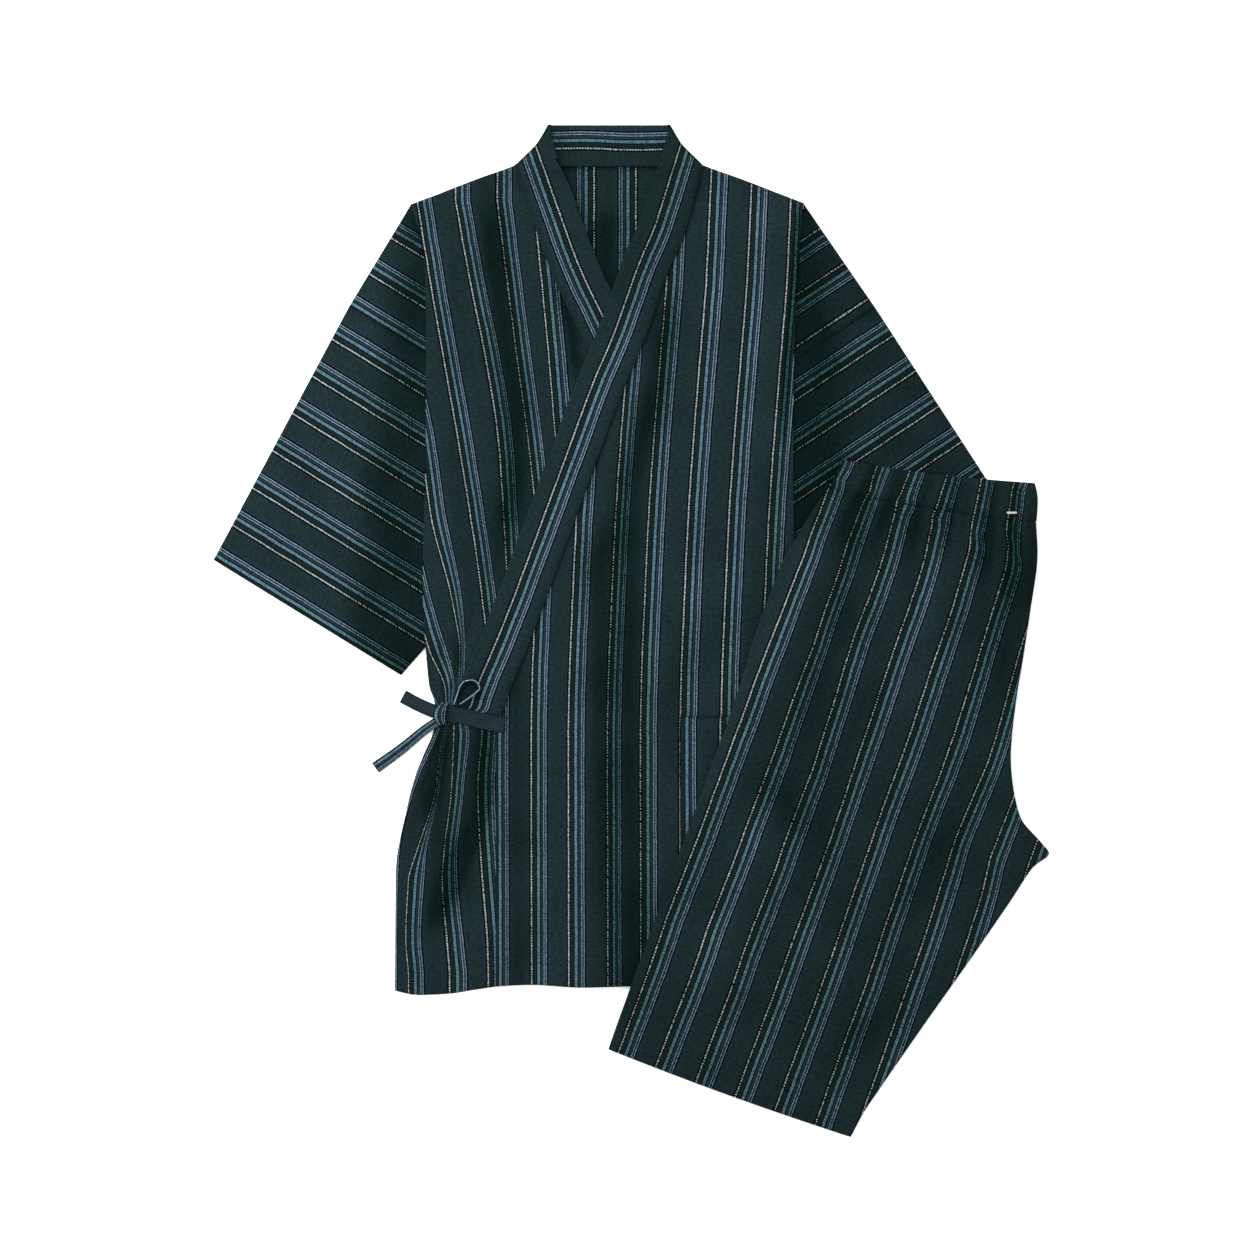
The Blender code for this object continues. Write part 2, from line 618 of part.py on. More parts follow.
def lay_tie(shop):
    """Bow of the outer ties: two free ends, a strap, a loop and the knot over them."""
    lay_ribbon(shop, "tie_strap", STRAP_ROUTE, STRAP_WIDTH, 9, "navy_plain_cloth")
    lay_ribbon(shop, "tie_end_upper", UPPER_END_ROUTE, UPPER_END_WIDTH, 8, "navy_plain_cloth")
    lay_ribbon(shop, "tie_end_lower", LOWER_END_ROUTE, LOWER_END_WIDTH, 11, "navy_stripe_cloth",
               taper=LOWER_END_TAPER)
    build_loop(shop)
    across = np.linspace(-0.5, 0.5, 7)
    along = np.linspace(-0.5, 0.5, 7)
    u, v = np.meshgrid(across, along)
    pinch = 1.0 - KNOT_PINCH * (2 * v) ** 2
    x = TIE_KNOT[0] + KNOT_SIZE[0] * u * pinch + KNOT_SLANT * KNOT_SIZE[1] * v
    y = TIE_KNOT[1] + KNOT_SIZE[1] * v
    dome = KNOT_RISE * np.cos(math.pi * u) * np.cos(math.pi * v)
    shop.lay_sheet("tie_knot", on_jacket(x, y), RIBBON, soft=0, margin=0, crown=dome, rim=FOLD_RIM)


def gather_lift(share, down):
    """Height of the gathers across the leg, strongest at the casing's stitching."""
    drift, vary = GATHER_DRIFT, GATHER_STRENGTH
    uneven = drift["amount"] * np.sin(2 * math.pi * share * drift["waves"] + drift["start"])
    ridge = 0.5 - 0.5 * np.cos(2 * math.pi * (GATHERS * share + uneven))
    strength = vary["middle"] + vary["swing"] * np.sin(2 * math.pi * share * vary["waves"])
    return GATHER_HEIGHT * ridge * strength * ease(1.0 - down / GATHER_FADE)


def leg_plan(table, share, rows=None):
    """Across and down of every point between the leg's two edges."""
    stations = np.arange(len(table["outer_down"]), dtype=float)
    at = stations if rows is None else np.linspace(0.0, stations[-1], rows)
    column = {key: smooth(stations, values, at) for key, values in table.items()}
    across = column["outer_across"][:, None] * (1 - share) + column["inner_across"][:, None] * share
    down = column["outer_down"][:, None] * (1 - share) + column["inner_down"][:, None] * share
    sag = WAIST_SAG * ease(1.0 - column["outer_down"] / WAIST_SAG_FADE)
    bulge = HEM_BULGE * ease((column["outer_down"] - HEM_BULGE_START) / HEM_BULGE_FADE)
    return across, down + (sag + bulge)[:, None] * np.sin(math.pi * share)


def lay_trouser_under(shop):
    """Hidden layers of the folded trousers as one solid, with each layer's edge at the rim."""
    share = ease_ends(np.linspace(0.0, 1.0, UNDER_COLUMNS))
    across, down = leg_plan(LEG_ROWS, share)
    top_across, top_down = leg_plan(WAIST_ROWS, share)
    across = np.vstack((top_across[:1], across[1:]))
    down = np.vstack((top_down[:1] + UNDER_DROP, down[1:]))
    toward = np.stack((UNDER_MIDDLE[0] - across, UNDER_MIDDLE[1] - down), axis=-1)
    toward /= np.maximum(np.linalg.norm(toward, axis=-1, keepdims=True), 1.0)
    across, down = across + UNDER_INSET * toward[..., 0], down + UNDER_INSET * toward[..., 1]
    rim = []
    for layer in range(UNDER_LAYERS):
        top = 1.0 - layer / UNDER_LAYERS
        rim.append((top - 0.5 / UNDER_LAYERS, 1.0 - UNDER_STEP * layer))
        if layer < UNDER_LAYERS - 1:
            rim.append((top - 1.0 / UNDER_LAYERS, -UNDER_GROOVE))
    thickness = UNDER_LAYERS * (WALL + UNDER_AIR)
    shop.lay_sheet("trouser_under", on_trousers(across, down), thickness, soft=6, rim=rim)


def lay_trousers(shop):
    """Folded trousers: hidden layers, the leg that shows, its gathered casing and front mark."""
    lay_trouser_under(shop)
    share = np.linspace(0.0, 1.0, GATHERS * GATHER_COLUMNS + 1)
    across, down = leg_plan(LEG_ROWS, share)
    leg = on_trousers(across, down)
    shop.lay_sheet("trouser_leg", leg, fold=gather_lift(share, down), soft=2)
    across, down = leg_plan(WAIST_ROWS, share, rows=5)
    lift = gather_lift(share, 0.0 * down)
    band = on_trousers(across, down - SEAM_GAP)
    shop.lay_sheet("waistband", band, BAND, fold=BAND_GATHER * lift, soft=2, beside=True)
    u = np.linspace(-0.5, 0.5, 4) * FRONT_MARK["length"]
    v = np.linspace(-0.5, 0.5, 3) * FRONT_MARK["width"]
    u, v = np.meshgrid(u, v)
    turn = math.radians(TROUSER_TURN)
    across = FRONT_MARK["across"] + u * math.cos(turn) - v * math.sin(turn)
    down = FRONT_MARK["down"] + u * -math.sin(turn) - v * math.cos(turn)
    shop.lay_sheet("front_mark", on_trousers(across, down), FRONT_MARK["rise"], soft=0,
                   finish="white_thread")


def main():
    """Lay the jacket, tie it, and lay the trousers over it."""
    for item in list(bpy.data.objects):
        bpy.data.objects.remove(item, do_unlink=True)
    shop = Workshop()
    lay_back(shop)
    lay_collar_back(shop)
    lay_sleeve(shop, "right", RIGHT_SLEEVE)
    lay_sleeve(shop, "left", LEFT_SLEEVE)
    lay_right_front(shop)
    collar = band_plan(-1.0, RIGHT_FRONT_SEAM, RIGHT_BAND_ROWS)
    shop.lay_sheet("collar_right", on_jacket(collar[..., 0], collar[..., 1]), BAND, soft=2,
                   rim=FOLD_RIM)
    lay_left_front(shop)
    collar = band_plan(1.0, LEFT_FRONT_SEAM, LEFT_BAND_ROWS)
    shop.lay_sheet("collar_left", on_jacket(collar[..., 0], collar[..., 1]), BAND, soft=2,
                   rim=FOLD_RIM)
    lay_tie(shop)
    lay_trousers(shop)


main()
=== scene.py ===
"""Looks of the jinbei set: fine cloth shells for the cut pieces, their stripes, seams and creases.

Each piece of cloth is a thin closed shell over the place of its solid. The pieces are laid one
after another on a raster of heights, in the order in which the set is laid out, so that each one
follows what lies under it. Lengths in the tables are millimetres in the garment's own frame:
the jacket's runs across from its middle and up from the back neck seam, the trousers' across from
the side fold and down the leg from the hip.
"""

import logging
import math
from dataclasses import dataclass, field
from enum import Enum

import bmesh
import bpy
import numpy as np
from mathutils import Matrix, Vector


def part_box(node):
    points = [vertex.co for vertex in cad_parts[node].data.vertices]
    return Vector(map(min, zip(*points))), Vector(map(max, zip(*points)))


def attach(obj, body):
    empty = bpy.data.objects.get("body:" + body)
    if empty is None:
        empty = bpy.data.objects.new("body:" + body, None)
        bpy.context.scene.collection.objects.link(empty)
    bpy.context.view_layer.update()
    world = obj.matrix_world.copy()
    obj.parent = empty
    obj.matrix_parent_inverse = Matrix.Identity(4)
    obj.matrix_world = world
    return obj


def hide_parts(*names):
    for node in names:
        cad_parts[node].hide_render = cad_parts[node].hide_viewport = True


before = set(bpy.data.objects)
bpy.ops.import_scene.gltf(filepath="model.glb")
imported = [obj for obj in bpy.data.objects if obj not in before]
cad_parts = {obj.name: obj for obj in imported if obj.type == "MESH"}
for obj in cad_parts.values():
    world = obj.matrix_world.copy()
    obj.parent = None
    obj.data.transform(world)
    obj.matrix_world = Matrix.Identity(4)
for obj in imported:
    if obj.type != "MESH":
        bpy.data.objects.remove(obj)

LOG = logging.getLogger("jinbei")

MM = 0.001
PHOTO_WIDTH = 1.1718              # metres of floor that the photograph's 1260 pixels span
REPEAT = 38.5                     # one repeat of the stripes across the cloth
CELL = 1.5                        # raster of the laid heights
COARSE_CELL = 2.5                 # raster of the part's source, in which softness is counted
RASTER_HALF = (430.0, 500.0)

Array = np.ndarray
Table = tuple[float, ...]
Colour = tuple[float, float, float]


def smooth(known: Table, values: Table, at: Array) -> Array:
    """Cubic curve through a table's points that never overshoots them.

    Args:
        known: Places of the points, rising or falling.
        values: Values at those places.
        at: Places to read.

    Returns:
        The curve's value at each place.
    """
    known, values = np.asarray(known, float), np.asarray(values, float)
    if known[0] > known[-1]:
        known, values = known[::-1], values[::-1]
    slope = np.diff(values) / np.diff(known)
    tangent = np.empty_like(values)
    tangent[0], tangent[-1] = slope[0], slope[-1]
    before, after = slope[:-1], slope[1:]
    same_way = before * after > 0
    total = np.where(same_way, before + after, 1.0)
    tangent[1:-1] = np.where(same_way, 2.0 * before * after / total, 0.0)
    at = np.clip(np.asarray(at, float), known[0], known[-1])
    cell = np.clip(np.searchsorted(known, at) - 1, 0, len(known) - 2)
    width = known[cell + 1] - known[cell]
    t = (at - known[cell]) / width
    start, end = values[cell], values[cell + 1]
    rise, fall = tangent[cell] * width, tangent[cell + 1] * width
    bend = 2.0 * (start - end) + rise + fall
    return start + t * (rise + t * (end - start - rise - bend + t * bend))


def ease(t: Array) -> Array:
    """Smooth step from 0 to 1."""
    t = np.clip(t, 0.0, 1.0)
    return t * t * (3.0 - 2.0 * t)


def unit(vectors: Array) -> Array:
    """Vectors of length 1."""
    return vectors / np.linalg.norm(vectors, axis=-1, keepdims=True)


def ripple_field(x: Array, y: Array, pitch: float, seed: int) -> Array:
    """Soft uneven field of bumps, the same on every run.

    Args:
        x: Places across.
        y: Places along.
        pitch: Rough distance between two bumps.
        seed: Number that picks the field.

    Returns:
        Values from about -1 to 1.
    """
    dice = np.random.default_rng(seed)
    total = np.zeros(np.broadcast(x, y).shape)
    for _ in range(7):
        angle, phase = dice.uniform(0.0, math.pi), dice.uniform(0.0, 2 * math.pi)
        turn = 2 * math.pi / (pitch * dice.uniform(0.7, 1.6))
        total = total + np.sin(turn * (x * math.cos(angle) + y * math.sin(angle)) + phase)
    return total / 3.5


class Garment(Enum):
    """Garment whose own frame a plan is given in: its origin on the floor, and its turn."""

    JACKET = (-20.4, 431.6, 0.0)
    TROUSERS = (184.0, 134.8, 21.3)

    def place(self, across: Array, up: Array) -> Array:
        """Plan points on the floor.

        Args:
            across: Places across the garment.
            up: Places along it, upwards.

        Returns:
            Points with their x and y in the last axis.
        """
        x, y, turn = self.value
        cos, sin = math.cos(math.radians(turn)), math.sin(math.radians(turn))
        plan = np.broadcast_arrays(x + across * cos + up * sin, y - across * sin + up * cos)
        return np.stack(plan, axis=-1)


class Held(Enum):
    """How a sheet of cloth is held where it lies."""

    LAID = "laid"
    FOLDED = "folded"
    GATHERED = "gathered"


class Slot(Enum):
    """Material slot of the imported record."""

    STRIPED = "striped_cotton"
    PLAIN = "plain_cotton"
    THREAD = "white_thread"


class Rim(Enum):
    """Edge of a shell: shares of its height, and how far it stands out there."""

    CUT = ((0.5, 0.3),)
    FOLD = ((0.84, 0.38), (0.5, 0.55), (0.16, 0.38))
    LAYERS = ((0.94, 0.6), (0.83, 0.9), (0.72, 0.5), (0.66, -0.5), (0.6, 0.2), (0.5, 0.6),
              (0.39, 0.2), (0.33, -0.6), (0.27, 0.0), (0.17, 0.3), (0.06, 0.0))


@dataclass(frozen=True)
class Gauge:
    """Thicknesses and clearances of the cloth."""

    layer: float = 1.2
    band: float = 2.4
    ribbon: float = 1.6
    layer_gap: float = 0.4
    seam_gap: float = 1.0


GAUGE = Gauge()


@dataclass(frozen=True)
class Crease:
    """A soft trough or ridge along a line.

    Attributes:
        line: Points that it follows, in the garment's frame.
        height: Height of a ridge, or below zero the depth of a trough; in a band of painted shade,
            its depth, or below zero painted light.
        width: Distance from its middle at which it has nearly gone.
        blunt: Share of its length over which each end fades.
    """

    line: tuple[tuple[float, float], ...]
    height: float
    width: float
    blunt: float = 0.3

    def lift(self, x: Array, y: Array) -> Array:
        """How much the crease raises the cloth.

        Args:
            x: Places across the garment.
            y: Places along it.

        Returns:
            The lift at each place.
        """
        points = np.array(self.line, float)
        lengths = np.linalg.norm(np.diff(points, axis=0), axis=1)
        start = np.concatenate(([0.0], np.cumsum(lengths)))
        nearest = np.full(x.shape, 1e9)
        along = np.zeros(x.shape)
        for index, (first, last) in enumerate(zip(points, points[1:])):
            run = (last - first) / lengths[index]
            reach = np.clip((x - first[0]) * run[0] + (y - first[1]) * run[1], 0.0, lengths[index])
            away = np.hypot(x - first[0] - reach * run[0], y - first[1] - reach * run[1])
            closer = away < nearest
            nearest = np.where(closer, away, nearest)
            along = np.where(closer, start[index] + reach, along)
        share = along / start[-1]
        ends = ease(share / self.blunt) * ease((1.0 - share) / self.blunt)
        return self.height * ends * np.exp(-2.5 * (nearest / self.width) ** 2)


def creased(creases: tuple[Crease, ...], x: Array, y: Array) -> Array:
    """Sum of what some creases raise the cloth by.

    Args:
        creases: The creases.
        x: Places across the garment.
        y: Places along it.

    Returns:
        The lift at each place.
    """
    total = np.zeros(np.broadcast(x, y).shape)
    for crease in creases:
        total = total + crease.lift(x, y)
    return total


@dataclass(frozen=True)
class StripeMap:
    """Where the white line of each repeat of the stripes runs over a piece.

    Attributes:
        stations: Cross rows at which the lines are charted.
        lines: Place across of each white line at every station.
        groups: Width of a group of stripes at each station, where folds hide plain cloth.
        squeezed: Number of a line whose group has widths of its own, and those widths.
    """

    stations: Table
    lines: tuple[Table, ...]
    groups: Table = ()
    squeezed: tuple[tuple[int, Table], ...] = ()
    group_share: float = 0.43

    def count(self, across: Array, along: Array) -> Array:
        """Number of repeats of the stripes up to each place.

        Args:
            across: Places across the piece.
            along: Places along it.

        Returns:
            Whole numbers on the white lines, and shares of a repeat between them.
        """
        lines = [smooth(self.stations, line, along) for line in self.lines]
        own = dict(self.squeezed)
        total = np.minimum((across - lines[0]) / REPEAT, 0.0)
        for number, (left, right) in enumerate(zip(lines, lines[1:])):
            t = np.clip((across - left) / (right - left), 0.0, 1.0)
            if self.groups:
                group = smooth(self.stations, own.get(number, self.groups), along)
                share = np.clip(group / (right - left), 0.02, 0.9)
                fine = self.group_share * t / share
                plain = self.group_share + (1 - self.group_share) * (t - share) / (1 - share)
                t = np.where(t < share, fine, plain)
            total = total + t
        return total + np.maximum((across - lines[-1]) / REPEAT, 0.0)


def spread(raster: Array, reach: int) -> Array:
    """Highest value within reach cells, along both axes."""
    for axis in (0, 1):
        shifts = [np.roll(raster, step, axis=axis) for step in range(-reach, reach + 1)]
        raster = np.maximum.reduce(shifts)
    return raster


def blur(raster: Array, reach: int) -> Array:
    """Mean value within reach cells, along both axes."""
    for axis in (0, 1):
        total = sum(np.roll(raster, step, axis=axis) for step in range(-reach, reach + 1))
        raster = total / (2 * reach + 1)
    return raster


def face_samples(grid: Array, steps: int) -> Array:
    """Evenly spaced points inside every face of a grid.

    Args:
        grid: Plan points or heights over rows and columns.
        steps: Points along each side of a face, apart from its corners.

    Returns:
        The points, as row, column, step and step.
    """
    t = np.concatenate(([0.0], (np.arange(steps) + 0.5) / steps, [1.0]))
    u, v = t[None, None, None, :], t[None, None, :, None]
    if grid.ndim == 3:
        u, v, grid = u[..., None], v[..., None], grid[:, :, None, None, :]
    else:
        grid = grid[:, :, None, None]
    top = grid[:-1, :-1] * (1 - u) + grid[:-1, 1:] * u
    bottom = grid[1:, :-1] * (1 - u) + grid[1:, 1:] * u
    return top * (1 - v) + bottom * v


def sample_steps(plan: Array) -> int:
    """Points along a face's side that miss no cell of the raster."""
    sides = [np.linalg.norm(np.diff(plan, axis=axis), axis=-1).max() for axis in (0, 1)]
    return max(2, math.ceil(max(sides) / (0.8 * CELL)))


@dataclass
class Pile:
    """Height of the cloth laid so far, over a raster of square cells."""

    heights: Array = field(init=False)
    fresh: Array = field(init=False)

    def __post_init__(self) -> None:
        """Start with the bare floor."""
        columns, rows = (int(2 * half / CELL) for half in RASTER_HALF)
        self.heights = np.full((rows, columns), -GAUGE.layer_gap)
        self.fresh = self.heights.copy()

    def cells(self, plan: Array) -> tuple[Array, Array]:
        """Row and column of the cell that holds each point."""
        column = ((plan[..., 0] + RASTER_HALF[0]) / CELL).astype(int)
        row = ((plan[..., 1] + RASTER_HALF[1]) / CELL).astype(int)
        return row, column

    def read(self, raster: Array, plan: Array) -> Array:
        """Value of a raster at each point, blended between the four nearest cells.

        Args:
            raster: Values over the cells.
            plan: Points on the floor.

        Returns:
            The value at each point.
        """
        u = (plan[..., 0] + RASTER_HALF[0]) / CELL - 0.5
        v = (plan[..., 1] + RASTER_HALF[1]) / CELL - 0.5
        column, row = np.floor(u).astype(int), np.floor(v).astype(int)
        fu, fv = u - column, v - row
        low = raster[row, column] * (1 - fu) + raster[row, column + 1] * fu
        high = raster[row + 1, column] * (1 - fu) + raster[row + 1, column + 1] * fu
        return low * (1 - fv) + high * fv

    def rest(self, plan: Array, soft: float, margin: int) -> Array:
        """Underside of a sheet that rests on the pile and bridges its steps.

        Args:
            plan: The sheet's points on the floor.
            soft: Length over which it bridges a step, in cells of the part's source.
            margin: Cells by which it keeps off the edges beside it.

        Returns:
            The underside's height at each point.
        """
        reach = round(soft * COARSE_CELL / CELL)
        bed = blur(spread(self.heights, reach + margin), reach) if reach else self.heights
        low = self.read(bed, plan) + GAUGE.layer_gap
        steps = sample_steps(plan)
        below = spread(self.heights, margin)[self.cells(face_samples(plan, steps))]
        below = below + GAUGE.layer_gap
        for strength in (0.5, 0.5, 0.5, 1.0, 1.0):
            short = np.maximum((below - face_samples(low, steps)).max(axis=(2, 3)), 0.0)
            need = np.zeros_like(low)
            for i, j in ((0, 0), (0, 1), (1, 0), (1, 1)):
                corners = need[i:i + short.shape[0], j:j + short.shape[1]]
                np.maximum(corners, short, out=corners)
            low = low + strength * need
        return low

    def add(self, plan: Array, high: Array) -> None:
        """Record a sheet's top, for the pieces laid after the next settle."""
        steps = sample_steps(plan)
        row, column = self.cells(face_samples(plan, steps))
        np.maximum.at(self.fresh, (row, column), face_samples(high, steps))

    def settle(self) -> None:
        """Let the pieces laid so far carry the next one."""
        self.heights = self.fresh.copy()


def boundary(index: Array) -> Array:
    """Vertex numbers round the edge of a grid, once."""
    return np.concatenate((index[0, :-1], index[:-1, -1], index[-1, :0:-1], index[:0:-1, 0]))


def edge_normals(points: Array) -> Array:
    """Unit normals in plan that point out of a closed outline."""
    ahead = np.roll(points, -1, axis=0) - np.roll(points, 1, axis=0)
    normals = unit(np.stack((ahead[:, 1], -ahead[:, 0]), axis=-1))
    following = np.roll(points, -1, axis=0)
    area = np.sum(points[:, 0] * following[:, 1] - following[:, 0] * points[:, 1])
    return normals if area > 0 else -normals


def grid_faces(index: Array) -> Array:
    """Quads over a grid of vertex numbers."""
    corners = (index[:-1, :-1], index[:-1, 1:], index[1:, 1:], index[1:, :-1])
    return np.stack(corners, axis=-1).reshape(-1, 4)


def wrap_faces(index: Array) -> Array:
    """Quads over rings of vertex numbers, closed round."""
    return grid_faces(np.hstack((index, index[:, :1])))


def linear(red: float, green: float, blue: float) -> Colour:
    """Colour of a dye from its 8-bit look under the photograph's light."""
    values = (channel / 255.0 for channel in (red, green, blue))
    return tuple(Dye.EXPOSURE * (v / 12.92 if v < 0.04045 else ((v + 0.055) / 1.055) ** 2.4)
                 for v in values)


class Dye:
    """Share of the light on the cloth that the photograph's exposure stands for."""

    EXPOSURE = 0.52


@dataclass(frozen=True)
class Yarn:
    """A run of one dyed yarn in the warp.

    Attributes:
        start: Where it starts, across from the middle of the white line.
        colour: Its dye.
        knots: How strongly the crinkle breaks it into knots.
    """

    start: float
    colour: Colour
    knots: float = 0.0


GROUND = linear(34, 51, 54)
MOSS = linear(28, 43, 41)
# Near-black yarn beside each stripe and in the gaps between knots: partly the cloth's own dark
# lines, partly painted shadow of the weave at the stripes' edges.
SHADOW_YARN = linear(5, 9, 11)
DUSK = linear(42, 58, 68)
PLUM = linear(38, 53, 65)
WHITE_YARN = linear(192, 204, 209)
BLUE_YARN = linear(102, 140, 158)
PALE_YARN = linear(146, 175, 196)
MIST_YARN = linear(52, 74, 90)
# Colour that the shade attribute multiplies the cloth's colour towards: the greenish dark of
# painted shade in folds and hollows.
PAINTED_SHADE_TINT: Colour = (0.2, 0.36, 0.29)

WARP = (
    Yarn(0.0, WHITE_YARN, 1.0), Yarn(0.75, SHADOW_YARN), Yarn(1.8, MOSS), Yarn(5.0, SHADOW_YARN),
    Yarn(5.9, BLUE_YARN, 0.6), Yarn(8.7, SHADOW_YARN), Yarn(9.7, DUSK), Yarn(11.6, SHADOW_YARN),
    Yarn(12.4, PALE_YARN, 0.6), Yarn(13.2, MIST_YARN, 0.95), Yarn(14.8, PALE_YARN, 0.6),
    Yarn(15.6, SHADOW_YARN), Yarn(17.1, PLUM), Yarn(19.0, linear(35, 52, 58)), Yarn(21.5, GROUND),
    Yarn(36.3, SHADOW_YARN), Yarn(37.75, WHITE_YARN, 1.0),
)


class NodeBuilder:
    """Places and links the nodes of one shader or geometry tree."""

    def __init__(self, tree: bpy.types.NodeTree) -> None:
        """Keep the tree."""
        self.tree = tree

    def add(self, kind: str, inputs: dict | None = None, **settings) -> bpy.types.Node:
        """Add a node, set it and link it.

        Args:
            kind: The node's type.
            inputs: For a socket's name or number, the value or the socket that feeds it.
            **settings: Attributes of the node itself.

        Returns:
            The node.
        """
        node = self.tree.nodes.new(kind)
        for key, value in settings.items():
            setattr(node, key, value)
        for key, value in (inputs or {}).items():
            if isinstance(value, bpy.types.NodeSocket):
                self.tree.links.new(value, node.inputs[key])
            else:
                node.inputs[key].default_value = value
        return node

    def maths(self, operation: str, *values) -> bpy.types.NodeSocket:
        """Result of one sum on sockets and numbers."""
        node = self.add("ShaderNodeMath", dict(enumerate(values)), operation=operation)
        return node.outputs[0]

    def noise(self, vector: bpy.types.NodeSocket, scale: float, detail: float = 2.0,
              shape: str = "3D") -> bpy.types.NodeSocket:
        """Noise of one scale over a vector."""
        inputs = {"Vector": vector, "Scale": scale, "Detail": detail, "Roughness": 0.55}
        return self.add("ShaderNodeTexNoise", inputs, noise_dimensions=shape).outputs[0]


def new_group(name: str, inputs: dict, outputs: dict) -> tuple[bpy.types.NodeTree, NodeBuilder]:
    """Start a shader node group.

    Args:
        name: The group's name.
        inputs: For each input's name, its socket type and its default value.
        outputs: For each output's name, its socket type.

    Returns:
        The group and a builder for it.
    """
    group = bpy.data.node_groups.new(name, "ShaderNodeTree")
    for label, (kind, value) in inputs.items():
        socket = group.interface.new_socket(label, in_out="INPUT", socket_type=kind)
        if value is not None:
            socket.default_value = value
    for label, kind in outputs.items():
        group.interface.new_socket(label, in_out="OUTPUT", socket_type=kind)
    return group, NodeBuilder(group)


def stripe_group() -> bpy.types.NodeTree:
    """Group that dyes the warp: a chart of yarns over one repeat, broken up by the crinkle.

    Returns:
        The group, with the colour, the yarns' mask and their height as outputs.
    """
    group, build = new_group(
        "warp_stripes",
        {"Weave": ("NodeSocketVector", None), "Wander": ("NodeSocketFloat", 0.5),
         "Knot pitch": ("NodeSocketFloat", 2.6), "Knot depth": ("NodeSocketFloat", 1.0)},
        {"Colour": "NodeSocketColor", "Yarn": "NodeSocketFloat", "Height": "NodeSocketFloat"})
    given = build.add("NodeGroupInput").outputs
    parts = build.add("ShaderNodeSeparateXYZ", {0: given["Weave"]}).outputs
    along = build.maths("MULTIPLY", parts[1], REPEAT)
    across = build.maths("MULTIPLY", parts[0], REPEAT)
    fine = build.add("ShaderNodeCombineXYZ", {
        0: build.maths("MULTIPLY", across, 0.22), 1: build.maths("MULTIPLY", along, 0.42)})
    crinkle = build.noise(fine.outputs[0], 1.0, 1.0, "2D")
    slow = build.noise(fine.outputs[0], 0.12, 0.0, "2D")
    sway = build.maths("ADD", build.maths("SUBTRACT", crinkle, 0.5),
                       build.maths("SUBTRACT", slow, 0.5))
    sway = build.maths("MULTIPLY", build.maths("MULTIPLY", sway, given["Wander"]), 1.0 / REPEAT)
    repeat = build.maths("FRACT", build.maths("ADD", parts[0], sway))
    ramp = build.add("ShaderNodeValToRGB", {0: repeat})
    chart = ramp.color_ramp
    chart.interpolation = "CONSTANT"
    for number, yarn in enumerate(WARP):
        place = yarn.start / REPEAT
        stop = chart.elements[number] if number < 2 else chart.elements.new(place)
        stop.position = place
        stop.color = (*yarn.colour, yarn.knots)
    phase = build.maths("MULTIPLY", build.maths("DIVIDE", along, given["Knot pitch"]), 2 * math.pi)
    phase = build.maths("ADD", phase, build.maths("MULTIPLY", crinkle, 9.0))
    phase = build.maths("ADD", phase, build.maths("MULTIPLY", across, 0.8))
    knot = build.maths("MULTIPLY_ADD", build.maths("SINE", phase), 0.85, 0.55)
    knot = build.maths("MINIMUM", build.maths("MAXIMUM", knot, 0.0), 1.0)
    # Between the knots the stripes take the near-black yarn's colour and sink in the bump: partly
    # the yarns' own dotted look, partly painted shade between the knots.
    gap = build.maths("MULTIPLY", build.maths("SUBTRACT", 1.0, knot), given["Knot depth"])
    gap = build.maths("MULTIPLY", gap, ramp.outputs["Alpha"])
    mixed = build.add("ShaderNodeMix", {0: gap, 6: ramp.outputs["Color"],
                                        7: (*SHADOW_YARN, 1.0)}, data_type="RGBA")
    height = build.maths("MULTIPLY", build.maths("SUBTRACT", 1.0, gap), ramp.outputs["Alpha"])
    build.add("NodeGroupOutput", {"Colour": mixed.outputs[2], "Yarn": ramp.outputs["Alpha"],
                                  "Height": height})
    return group


